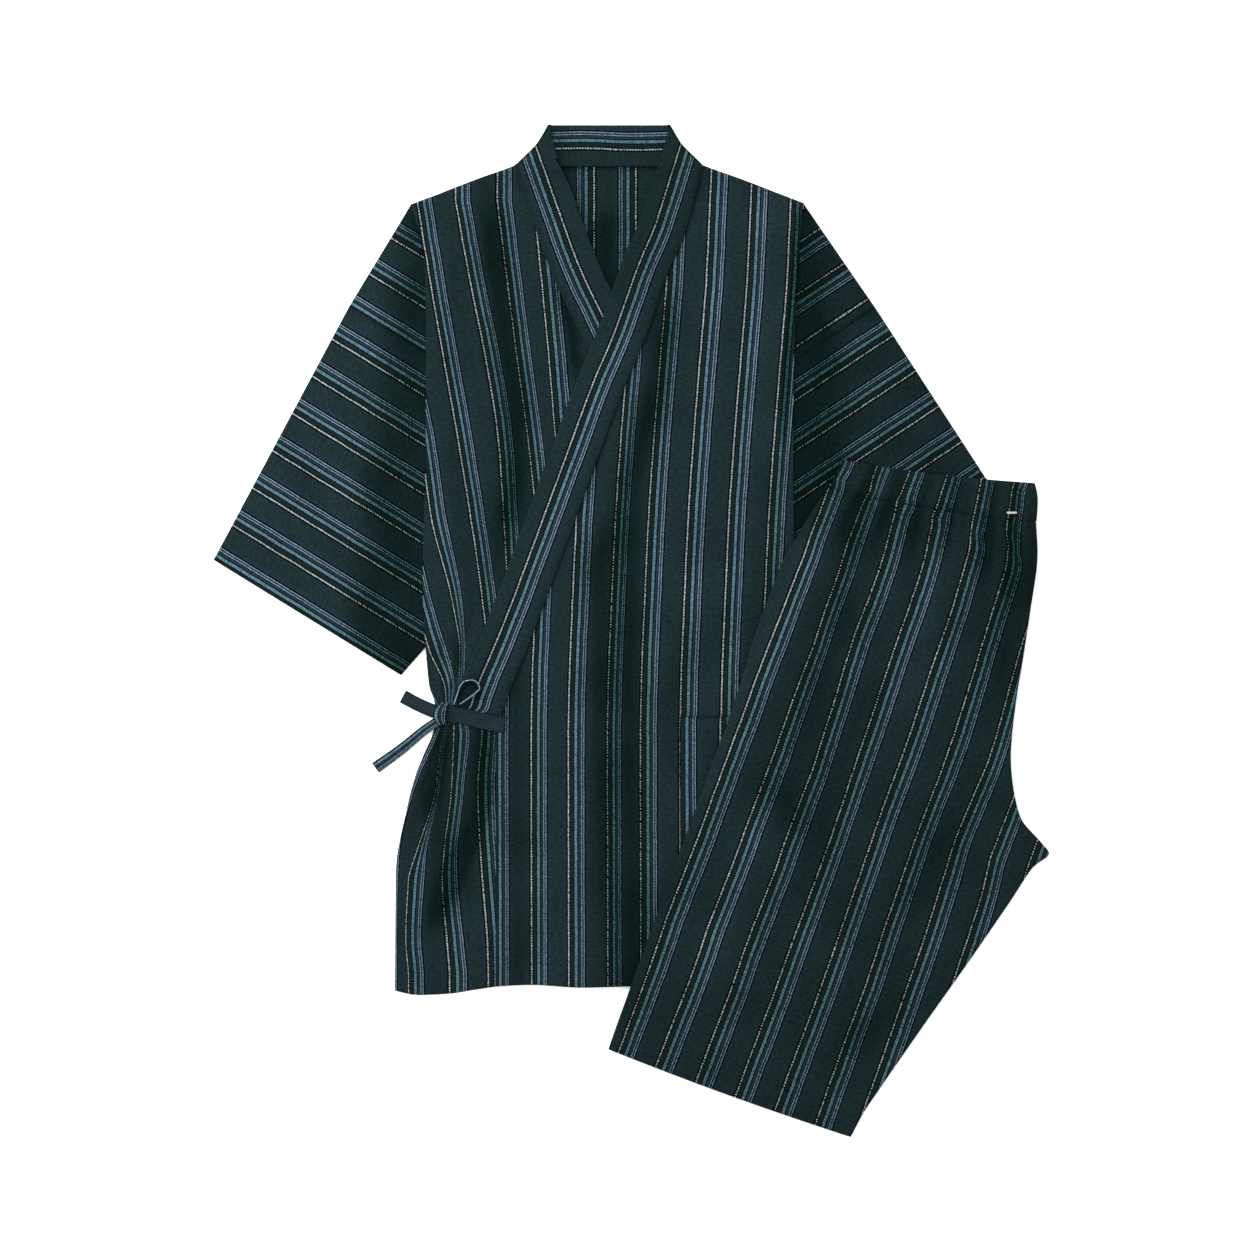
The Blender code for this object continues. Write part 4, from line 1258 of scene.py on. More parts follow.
@dataclass
class Sleeve:
    """A straight elbow sleeve and the dropped shoulder that it is sewn to.

    Attributes:
        side: The wearer's side.
        shoulder: Where the shoulder's fold starts.
        seam: Where the armhole seam meets the fold.
        cuff: Where the fold ends.
        cuff_turn: Turn of the cuff below the level, in degrees.
        hidden_x: Place across at which the folded cloth ends, hidden under the body.
        shoulder_white: Distance from the shoulder of a white line on its own cloth.
        sleeve_white: Distance from the seam of a white line on the sleeve.
        shoulder_sign: Way in which the shoulder's stripes run, away from the neck.
        shade: Depth of painted shade at its outer side, and the painted shade added beside the
            body's side.
        last_repeat: Repeats of the shoulder's stripes after which they run back again.
        shoulder_tuck: How far the shoulder runs on under the front's edge.
        sleeve_tuck: How far the sleeve runs on under the shoulder's edge.
    """

    side: str
    shoulder: tuple[float, float]
    seam: tuple[float, float]
    cuff: tuple[float, float]
    cuff_turn: float
    hidden_x: float
    shoulder_white: float
    sleeve_white: float
    shoulder_sign: float
    shade: tuple[float, float]
    last_repeat: float = 9.0
    depth: float = 204.0
    flare: float = 0.23
    pitch: float = 39.3
    hollow: float = 1.6
    edge_air: float = 0.5
    flatness: float = 1.6
    sleeve_cut_area: float = 0.106
    shoulder_tuck: float = 2.5
    sleeve_tuck: float = 0.8
    cuff_hem: float = 22.0

    def stretch(self, start: Array, end: Array, rows: int, tuck: float,
                share: Array) -> tuple[Array, Array, Array, Array]:
        """Plan of a stretch of the folded cloth.

        Args:
            start: Where its fold starts.
            end: Where its fold ends.
            rows: Number of rows.
            tuck: How far its first row lies before the start, under other cloth.
            share: Shares of its depth.

        Returns:
            Points, distance of each row from the start, depth of each row, and direction across.
        """
        turn = math.radians(self.cuff_turn)
        across = np.array((-math.copysign(math.cos(turn), self.shoulder[0]), -math.sin(turn)))
        length = np.linalg.norm(end - start)
        step = (end - start) / length
        at = np.linspace(-tuck, length, rows)
        fold_edge = start + at[:, None] * step
        from_cuff = np.linalg.norm(np.array(self.cuff) - fold_edge, axis=1)
        full = self.depth + self.flare * from_cuff
        depth = np.minimum(full, (self.hidden_x - fold_edge[:, 0]) / across[0])
        points = fold_edge[:, None, :] + across * (share[None, :, None] * depth[:, None, None])
        return points, at, depth, across

    def lay(self, room: Workroom) -> dict[str, Laid]:
        """Lay the shoulder and the sleeve.

        Args:
            room: Where they are laid.

        Returns:
            The two stretches where they lie.
        """
        share = ease_columns(62)
        shoulder, seam, cuff = (np.array(point, float)
                                for point in (self.shoulder, self.seam, self.cuff))
        swell = ease(np.sin(math.pi * share) * self.flatness)
        laid = {}
        runs = (
            ("front_shoulder", shoulder, seam, 32, self.shoulder_tuck, self.shoulder_white,
             self.shoulder_sign, Cut(f"{self.side}_front_shoulder", (0.2, 0.112), Held.FOLDED,
                                     ("cloth_back",), finish=Finish.SLEEVE, soft=2)),
            ("sleeve", seam, cuff, 78, self.sleeve_tuck, self.sleeve_white, -1.0,
             Cut(f"{self.side}_sleeve", (0.46, 0.266), Held.FOLDED, ("cloth_back",),
                 area=self.sleeve_cut_area, finish=Finish.SLEEVE, soft=2)),
        )
        for name, start, end, rows, tuck, white, sign, cut in runs:
            points, at, depth, across = self.stretch(start, end, rows, tuck, share)
            away = share[None, :] * depth[:, None]
            count = np.broadcast_to(sign * (at[:, None] - white) / self.pitch, away.shape)
            if name != "sleeve":
                count = np.minimum(count, 2 * self.last_repeat - count)
            air = self.edge_air + self.hollow * swell[None, :] + 0.0 * away
            uneven = ripple_field(at[:, None], away, 58.0, 21 + len(self.side) + rows)
            air = air + 0.55 * uneven * swell[None, :]
            if name == "sleeve":
                air = air + hem_crown((at[-1] - at)[:, None], self.cuff_hem)
            near_seam = at[:, None] if name == "sleeve" else (at[-1] - at)[:, None]
            air = np.maximum(air - 0.6 * np.exp(-(near_seam / 1.6) ** 2), 0.3)
            plan = Garment.JACKET.place(points[..., 0], points[..., 1])
            # Painted shade: deepening towards the body's side and along the armhole seam, and
            # changing with the hollow's ripples.
            from_body = np.abs(points[..., 0] - self.hidden_x)
            reach = 55.0 - 0.13 * (points[..., 1] + 120.0)
            shade = self.shade[0] + self.shade[1] * ease((reach + 20.0 - from_body) / 44.0)
            shade = shade + 0.12 * uneven + 0.25 * np.exp(-(near_seam / 2.0) ** 2)
            weave = woven_with_shade(count, away, shade)
            laid[name] = room.lay_tube(cut, plan, across, weave, air, at, share)
        return laid


def ease_columns(count: int) -> Array:
    """Shares of a width, a little closer together at both edges."""
    share = np.linspace(0.0, 1.0, count)
    return share - 0.09 * np.sin(2 * math.pi * share) / math.pi


@dataclass(frozen=True)
class FanFolds:
    """Folds that run out from the tied side, up and down, as a fan."""

    knot: tuple[float, float] = (-156.0, -509.5)
    above: int = 4
    below: int = 5
    height: float = 3.4
    offset: float = 4.0
    lean: float = 0.12
    spread: float = 0.62
    soft_side: float = 0.2
    start: float = 6.0
    rise: float = 26.0
    end: float = 165.0
    fade: float = 125.0

    def lift(self, x: Array, y: Array) -> Array:
        """How much the fan raises the cloth.

        Args:
            x: Places across the jacket.
            y: Places along it.

        Returns:
            The lift at each place.
        """
        dx, dy = x - self.knot[0] - self.offset, y - self.knot[1]
        distance = np.hypot(dx, dy)
        angle = np.arctan2(dx - self.lean * distance, np.abs(dy) + 1.0)
        count = np.where(dy > 0, self.above, self.below)
        wave = 0.5 + 0.5 * np.cos(math.pi * count * angle / self.spread)
        within = ease((self.spread - np.abs(angle)) / self.soft_side)
        start = ease((distance - self.start) / self.rise)
        end = ease((self.end - distance) / self.fade)
        return self.height * wave ** 0.7 * within * start * end


RIGHT_SEAM_Y: Table = (0, -61, -104, -166, -213, -286, -442, -508, -530, -766)
RIGHT_SEAM_X: Table = (-88, -67, -51, -22, -4, 22, 79, 101, 102, 100)
LEFT_SEAM_Y: Table = (0, -60, -101, -168, -213, -286, -442, -500, -507, -514, -766)
LEFT_SEAM_X: Table = (87, 71, 54, 30, 11, -16, -74, -97, -99, -104.5, -105)


@dataclass
class RightFront:
    """Wearer's right front, the under one, drawn in by the ties at its side."""

    rows: int = 232
    columns: int = 136
    crowding: float = 1.35
    folds: FanFolds = FanFolds()
    creases: tuple[Crease, ...] = (
        Crease(((-96, -215), (-93, -290), (-92, -372)), 1.6, 12.0),
        Crease(((-108, -200), (-107, -300), (-110, -420)), -1.2, 12.0),
        Crease(((-118, -522), (-121, -580), (-126, -660), (-128, -740)), -2.2, 12.0, 0.25),
        Crease(((-103, -525), (-104, -590), (-108, -680)), 1.6, 8.0, 0.3),
        Crease(((-150, -60), (-140, -200), (-142, -330)), -0.7, 16.0),
    )
    # Bands of painted shade down the front's folds and round the tie.
    painted_shades: tuple[Crease, ...] = (
        Crease(((-118, 30), (-101, -134), (-87, -227), (-87, -292), (-101, -357), (-113, -425)),
               0.9, 24.0, 0.25),
        Crease(((-52, -90), (-36, -150), (-26, -215)), 0.8, 12.0),
        Crease(((-116, -490), (-117, -590), (-131, -631), (-152, -673), (-172, -725)), 0.9, 19.0,
               0.15),
        Crease(((-150, -500), (-158, -560), (-176, -620)), 0.8, 13.0),
        Crease(((-146, -430), (-137, -470), (-130, -505)), 0.5, 8.0),
        Crease(((-152, -500), (-152, -600), (-150, -720)), 0.42, 34.0),
    )
    stripes: StripeMap = StripeMap(
        (-31.5, -106, -180.5, -255, -329, -403.5, -450, -487.5, -508, -529, -580.5, -636, -664,
         -720, -752.5),
        ((-282, -272.5, -261.5, -245.5, -228, -207.5, -190.5, -171, -164.5, -173, -195, -208.5,
          -210, -211, -211),
         (-250, -239, -228, -212, -196, -179.5, -167.5, -152.5, -151.5, -155, -161, -178.5,
          -187, -189.5, -187),
         (-215, -202.5, -190.5, -175.5, -165, -146, -139, -140.5, -144, -145, -147, -153.5,
          -155.5, -151, -148.5),
         (-178.5, -166.5, -153.5, -140.5, -128.5, -118, -113.5, -115, -117, -118.5, -122.5, -120,
          -118, -113.5, -112.5),
         (-143, -129.5, -114.5, -103, -98, -94, -90, -81, -74, -72, -72.5, -74.5, -79, -83,
          -83.5),
         (-104, -95, -85.5, -75.5, -68, -64, -60.5, -55, -36.5, -27, -34.5, -38, -43.5, -47.5,
          -48.5),
         (-70.5, -63, -56, -50, -43.5, -40, -36.5, -30.5, -8.5, 3, -1, -4.5, -8.5, -12, -13)),
        (14, 14, 14, 14, 13.5, 13.5, 11, 5.5, 5.5, 12, 12, 12, 15, 14, 14),
        ((0, (14, 14, 14, 14, 13.5, 13.5, 11, 5.5, 8, 14, 14, 14, 14, 14, 14)),
         (1, (14, 14, 14, 14, 14, 15, 17, 8.5, 5, 3, 3, 9, 15.4, 15, 15)),
         (2, (14, 14, 14, 14, 14.5, 9.5, 5, 5, 8, 16, 12, 12.5, 15, 16, 17)),
         (3, (14, 14, 14, 14, 13.5, 13.5, 13, 13, 14, 15, 17, 17, 17, 16, 16))))
    cut: Cut = Cut("right_front", (0.302, 0.764), Held.GATHERED, ("cloth_back",), area=0.19,
                   rim=Rim.FOLD)

    def lay(self, room: Workroom) -> Laid:
        """Lay the front over the back.

        Args:
            room: Where it is laid.

        Returns:
            The front where it lies.
        """
        share = 1.0 - np.linspace(1.0, 0.0, self.columns) ** self.crowding
        rows = np.linspace(0.0, OUTLINE.hem_row, self.rows)
        x, y = OUTLINE.front(RIGHT_SEAM_Y, RIGHT_SEAM_X, True, rows, share)
        fold = self.folds.lift(x, y) + creased(self.creases, x, y)
        uneven = ripple_field(x, y, 60.0, 31)
        fold = np.maximum(fold + 0.45 * uneven, 0.0)
        # Painted shade: a base depth, uneven with the cloth's ripples, and the bands.
        shade = 0.18 + 0.1 * uneven + creased(self.painted_shades, x, y)
        return room.lay_sheet(self.cut, Garment.JACKET.place(x, y),
                              woven_with_shade(self.stripes.count(x, y), y, shade), rows, share, fold=fold,
                              crown=hem_crown(np.abs(y - y[-1:]), 20.0))


def drifting(lines: Table, stations: Table, drift: Table) -> tuple[Table, ...]:
    """Places of parallel lines that drift together.

    Args:
        lines: Place of each line where there is no drift.
        stations: Cross rows.
        drift: Drift at each cross row.

    Returns:
        Place of each line at every row.
    """
    return tuple(tuple(line + shift for shift in drift) for line in lines)


DRIFT_ROWS: Table = (0, -31.5, -106, -180.5, -255, -329, -403.5, -478, -534, -757)
DRIFT: Table = (29.5, 28, 24.5, 18.5, 12.5, 7.5, 4, 1, 0, 0.5)


@dataclass
class LeftFront:
    """Wearer's left front, the top one, and the patch pocket on it."""

    rows: int = 232
    columns: int = 84
    creases: tuple[Crease, ...] = (
        Crease(((6, -270), (4, -420), (5, -600), (6, -764)), -1.5, 13.0, 0.2),
        Crease(((-12, -300), (-12, -450), (-12, -700)), 0.9, 14.0, 0.25),
        Crease(((52, -60), (40, -200), (20, -330)), -0.5, 22.0),
        Crease(((108, -90), (98, -230), (92, -400)), 0.6, 26.0),
        Crease(((150, -60), (138, -180), (140, -330)), -0.7, 18.0),
    )
    # Bands of painted shade down the front's folds; the last darkens the strip along the armhole
    # and dims the stripe there.
    painted_shades: tuple[Crease, ...] = (
        Crease(((62, -85), (45, -199), (30, -255), (14, -311), (6, -366)), 0.85, 23.0),
        Crease(((8, -300), (-10, -366), (-9, -450), (-6, -543), (-3, -636), (10, -830)),
               0.65, 23.0, 0.12),
        Crease(((26, -290), (17, -366), (18, -450), (20, -543), (22, -636), (28, -830)),
               0.75, 23.0, 0.12),
        Crease(((-87, -390), (-87, -600), (-87, -840)), 0.45, 19.0, 0.2),
        Crease(((150, -240), (150, -420), (120, -530)), 0.3, 32.0),
        Crease(((82, -400), (60, -500), (85, -600)), 0.3, 30.0),
        Crease(((177, 0), (175.5, -60), (172, -110), (166, -180), (160, -300)), 1.6, 5.5),
    )
    stripes: StripeMap = StripeMap(
        DRIFT_ROWS,
        drifting((-145, -108.5, -72.5, -38, -1.5, 29, 66, 104, 141, 177.5), DRIFT_ROWS, DRIFT))
    pocket_left: float = 66.0
    pocket_right: float = 170.0
    pocket_top: float = -512.0
    pocket_bottom: float = -664.0
    pocket_shift: float = 0.02
    cut: Cut = Cut("left_front", (0.292, 0.764), rests_on=("cloth_back", "cloth_right_front"),
                   area=0.187, soft=5, rim=Rim.FOLD)
    pocket_cut: Cut = Cut("pocket", (0.104, 0.152), rests_on=("cloth_left_front",), soft=2)

    def lay(self, room: Workroom) -> Laid:
        """Lay the front over the right one.

        Args:
            room: Where it is laid.

        Returns:
            The front where it lies.
        """
        share = ease_columns(self.columns)
        rows = np.linspace(0.0, OUTLINE.hem_row, self.rows)
        x, y = OUTLINE.front(LEFT_SEAM_Y, LEFT_SEAM_X, False, rows, share)
        uneven = ripple_field(x, y, 66.0, 41)
        fold = np.maximum(creased(self.creases, x, y) + 0.4 * uneven, 0.0)
        # Painted shade: a base depth, uneven with the cloth's ripples, and the bands.
        shade = 0.12 + 0.1 * uneven + creased(self.painted_shades, x, y)
        return room.lay_sheet(self.cut, Garment.JACKET.place(x, y),
                              woven_with_shade(self.stripes.count(x, y), y, shade), rows, share, fold=fold,
                              crown=hem_crown(np.abs(y - y[-1:]), 20.0))

    def lay_pocket(self, room: Workroom) -> Laid:
        """Lay the pocket, matched to the front's stripes.

        Args:
            room: Where it is laid.

        Returns:
            The pocket where it lies.
        """
        share = np.linspace(0.0, 1.0, 34)
        down = np.linspace(self.pocket_top, self.pocket_bottom, 48)
        x, y = np.meshgrid(self.pocket_left + share * (self.pocket_right - self.pocket_left), down)
        crown = hem_crown(self.pocket_top - y, 24.0) + 0.2 * ripple_field(x, y, 40.0, 43)
        # Painted shade: a light base, and a dark line along the pocket's top edge.
        shade = 0.12 + 0.6 * np.exp(-((self.pocket_top - y) / 1.5) ** 2)
        return room.lay_sheet(self.pocket_cut, Garment.JACKET.place(x, y),
                              woven_with_shade(self.stripes.count(x, y) + self.pocket_shift, y, shade),
                              down, share, crown=np.minimum(crown, 0.5))


def follow(route_x: Table, route_y: Table, count: int) -> tuple[Array, Array]:
    """Evenly spaced points of a smooth line.

    Args:
        route_x: Places across of the points that it runs through.
        route_y: Places along of those points.
        count: Number of points.

    Returns:
        The points, and how far along each is as a share.
    """
    points = np.stack((np.array(route_x, float), np.array(route_y, float)), axis=-1)
    travelled = np.concatenate(([0.0], np.cumsum(np.linalg.norm(np.diff(points, axis=0), axis=1))))
    at = np.linspace(0.0, travelled[-1], count)
    line = np.stack([smooth(travelled, points[:, k], at) for k in (0, 1)], axis=-1)
    return line, at / at[-1]


@dataclass(frozen=True)
class Ribbon:
    """A flat sewn tie.

    Attributes:
        cut: The piece.
        route_x: Places across of its route.
        route_y: Places along of its route.
        width: Its width.
        taper: Share by which it is narrower at its start.
        chart: Repeats of the stripes at its two edges.
        bow: Height of its middle over its edges.
    """

    cut: Cut
    route_x: Table
    route_y: Table
    width: float
    taper: float = 0.0
    chart: tuple[float, float] = (0.5, 0.9)
    bow: float = 0.25

    def lay(self, room: Workroom) -> Laid:
        """Lay the ribbon.

        Args:
            room: Where it is laid.

        Returns:
            The ribbon where it lies.
        """
        length = np.linalg.norm(np.diff(np.array((self.route_x, self.route_y)), axis=1), axis=0)
        line, share = follow(self.route_x, self.route_y, int(length.sum() / 1.1))
        run = unit(np.gradient(line, axis=0))
        side = np.stack((-run[:, 1], run[:, 0]), axis=-1)
        half = 0.5 * self.width * (1.0 - self.taper * (1.0 - share))
        across = np.sin(np.linspace(-0.5, 0.5, 13) * math.pi)
        plan = line[:, None, :] + side[:, None, :] * (half[:, None] * across)[..., None]
        first, last = self.chart
        count = np.broadcast_to(first + (last - first) * (across + 1) / 2, plan.shape[:2])
        along = np.broadcast_to((share * length.sum())[:, None], plan.shape[:2])
        seam = np.exp(-((np.abs(across) - 0.72) / 0.09) ** 2)
        crown = self.bow * (1 - across ** 2) - 0.18 * seam + 0.0 * along
        crown = crown + 0.15 * ripple_field(along, across * self.width, 11.0, 53)
        # Painted shade, deeper at the ribbon's two edges.
        return room.lay_sheet(self.cut, Garment.JACKET.place(plan[..., 0], plan[..., 1]),
                              woven_with_shade(count, along, 0.05 + 0.5 * np.abs(across) ** 6), share,
                              (across + 1) / 2, crown=crown)


@dataclass
class SideBow:
    """Bow of the outer ties at the wearer's right side."""

    strap: Ribbon = Ribbon(
        Cut("tie_strap", (0.014, 0.0575), rests_on=("cloth_right_front",), slot=Slot.PLAIN,
            finish=Finish.PLAIN, thickness=GAUGE.ribbon, soft=1, margin=0),
        (-153, -137, -118, -97.5), (-509, -511.5, -516.5, -520), 14.0)
    upper_end: Ribbon = Ribbon(
        Cut("tie_end_upper", (0.012, 0.042), rests_on=("cloth_tie_strap",), slot=Slot.PLAIN,
            finish=Finish.PLAIN, thickness=GAUGE.ribbon, soft=1, margin=0),
        (-154, -164, -178, -192), (-510, -507, -501, -493.5), 12.0)
    lower_end: Ribbon = Ribbon(
        Cut("tie_end_lower", (0.0105, 0.0815), area=0.00074, rests_on=("cloth_tie_end_upper",),
            thickness=GAUGE.ribbon, soft=1, margin=0),
        (-153, -168, -194, -217.5), (-513, -522, -543, -560), 10.5, 0.25, (0.12, 0.425))
    loop_x: Table = (-144.5, -141, -138.5, -134, -127, -121.5, -119.5, -123, -131, -138)
    loop_y: Table = (-500.5, -490, -483, -478.5, -477.5, -480.5, -486, -490, -496, -500.8)
    loop_height: float = 7.0
    loop_lean: float = 3.6
    loop_wall: float = 1.1
    knot_at: tuple[float, float] = (-156.0, -509.5)
    knot_size: tuple[float, float] = (11.0, 19.5)
    knot_rise: float = 2.4
    knot_pinch: float = 0.35
    knot_slant: float = 0.1
    knot_hollow: float = 3.2

    def lay(self, room: Workroom) -> None:
        """Lay the ends and the strap, stand the loop, and put the knot over them.

        Args:
            room: Where they are laid.
        """
        self.strap.lay(room)
        self.upper_end.lay(room)
        self.lower_end.lay(room)
        self.stand_loop(room)
        self.lay_knot(room)

    def stand_loop(self, room: Workroom) -> None:
        """Stand the loop's ribbon on its edge, leaning outwards.

        Args:
            room: Where it is laid.
        """
        line, share = follow(self.loop_x, self.loop_y, 70)
        run = unit(np.gradient(line, axis=0))
        inward = np.stack((run[:, 1], -run[:, 0]), axis=-1)
        lean = (self.loop_lean * ease(np.sin(math.pi * share) * 1.4))[:, None]
        foot_points = line + inward * (lean + self.loop_wall)
        around = np.stack((Garment.JACKET.place(line[:, 0], line[:, 1]),
                           Garment.JACKET.place(foot_points[:, 0], foot_points[:, 1])), axis=1)
        foot = room.pile.rest(around, 1, 1).max(axis=1)
        steps = np.linspace(0.0, 1.0, 8)
        walls = []
        for depth, heights in ((0.0, steps), (self.loop_wall, steps[::-1])):
            bow = 0.9 * np.sin(math.pi * heights)
            reach = depth + lean * (1 - heights) - bow * ease(np.sin(math.pi * share) * 2)[:, None]
            points = line[:, None, :] + inward[:, None, :] * reach[..., None]
            height = foot[:, None] + self.loop_height * heights
            plan = Garment.JACKET.place(points[..., 0], points[..., 1])
            walls.append(np.dstack((plan, height)))
        rings = np.concatenate(walls, axis=1)
        count, around = rings.shape[:2]
        index = np.arange(count * around).reshape(count, around)
        faces = [wrap_faces(index)]
        for end in (index[0], index[-1][::-1]):
            half = around // 2
            faces.append(grid_faces(np.stack((end[:half], end[half:][::-1]))))
        level = np.concatenate((steps, steps[::-1]))
        chart = np.broadcast_to(0.6 - 0.262 * level, (count, around))
        # Painted shade on the loop's walls, deepest at their foot.
        weave = woven_with_shade(chart, np.broadcast_to((share * 75.0)[:, None], chart.shape),
                      0.7 - 0.7 * level)
        cut = Cut("tie_loop", (0.0115, 0.078), Held.FOLDED, ("cloth_right_front",), area=0.0006)
        piece = room.add_piece(cut.name, rings.reshape(-1, 3), np.vstack(faces),
                               weave.reshape(-1, 3), cut.finish)
        room.declare(piece, cut)

    def lay_knot(self, room: Workroom) -> None:
        """Lay the knot over the ends.

        Args:
            room: Where it is laid.
        """
        cut = Cut("tie_knot", (0.022, 0.024), area=0.0005, rests_on=("cloth_tie_end_lower",),
                  thickness=GAUGE.ribbon, soft=0, margin=0, rim=Rim.FOLD)
        across, along = np.linspace(-0.5, 0.5, 17), np.linspace(-0.5, 0.5, 25)
        u, v = np.meshgrid(across, along)
        pinch = 1.0 - self.knot_pinch * (2 * v) ** 2
        x = self.knot_at[0] + self.knot_size[0] * u * pinch
        x = x + self.knot_slant * self.knot_size[1] * v + self.knot_hollow * ((2 * v) ** 2 - 0.5)
        y = self.knot_at[1] + self.knot_size[1] * v
        dome = self.knot_rise * np.cos(math.pi * u) ** 0.7 * np.cos(math.pi * v) ** 0.7
        pleats = 0.45 * np.sin(2 * math.pi * (2.2 * u + 0.5 * v ** 2)) * np.cos(math.pi * v)
        count = 0.13 + 0.28 * (u + 0.5) + 0.0 * v
        room.lay_sheet(cut, Garment.JACKET.place(x, y), woven_with_shade(count, y, 0.1), along, across + 0.5,
                       crown=np.maximum(dome + pleats, 0.0))


@dataclass(frozen=True)
class LegOutline:
    """Edges of the folded trousers, row by row, and of their waist."""

    outer_across: Table = (1, -5, -9, -14, -14, -12, -10, -9, -8, -7.5, -7, -7, -6, -5, -3.5, -2,
                           -1, 0)
    outer_down: Table = (4, 26, 50, 88, 130, 172, 192, 210, 226, 238, 250, 264, 300, 366, 430, 501,
                         535, 563.3)
    inner_across: Table = (191.5, 205, 217, 226.5, 236, 248.5, 257.5, 268, 281, 304, 315.3, 306,
                           297.5, 282, 266, 249, 241.5, 239)
    inner_down: Table = (-37, -6, 42, 84, 128, 172, 192, 210, 226, 238, 246, 262, 300, 366, 430,
                         501, 535, 557.4)
    waist_outer_across: Table = (4, 3, 2, 1)
    waist_outer_down: Table = (-25, -16, -7, 4)
    waist_inner_across: Table = (178, 184.5, 188.5, 191.5)
    waist_inner_down: Table = (-70, -59, -48, -37)
    sag: float = 3.0
    sag_fade: float = 90.0
    bulge: float = 2.0
    bulge_start: float = 500.0
    bulge_fade: float = 60.0

    def plan(self, waist: bool, share: Array, rows: int) -> tuple[Array, Array, Array]:
        """Every point between the two edges.

        Args:
            waist: Whether it is the waistband, and not the leg.
            share: Shares of the width.
            rows: Number of rows.

        Returns:
            Places across and down, and each row's place down the outer edge.
        """
        start = "waist_" if waist else ""
        tables = [getattr(self, start + name) for name in
                  ("outer_across", "outer_down", "inner_across", "inner_down")]
        stations = np.arange(len(tables[0]), dtype=float)
        length = np.concatenate(([0.0], np.cumsum(np.hypot(np.diff(tables[2]), np.diff(tables[3]))
                                                  + np.diff(tables[1]))))
        at = np.interp(np.linspace(0.0, length[-1], rows), length, stations)
        outer_across, outer_down, inner_across, inner_down = (
            smooth(stations, table, at) for table in tables)
        across = outer_across[:, None] * (1 - share) + inner_across[:, None] * share
        down = outer_down[:, None] * (1 - share) + inner_down[:, None] * share
        dip = self.sag * ease(1.0 - outer_down / self.sag_fade)
        bow = self.bulge * ease((outer_down - self.bulge_start) / self.bulge_fade)
        return across, down + (dip + bow)[:, None] * np.sin(math.pi * share), outer_down


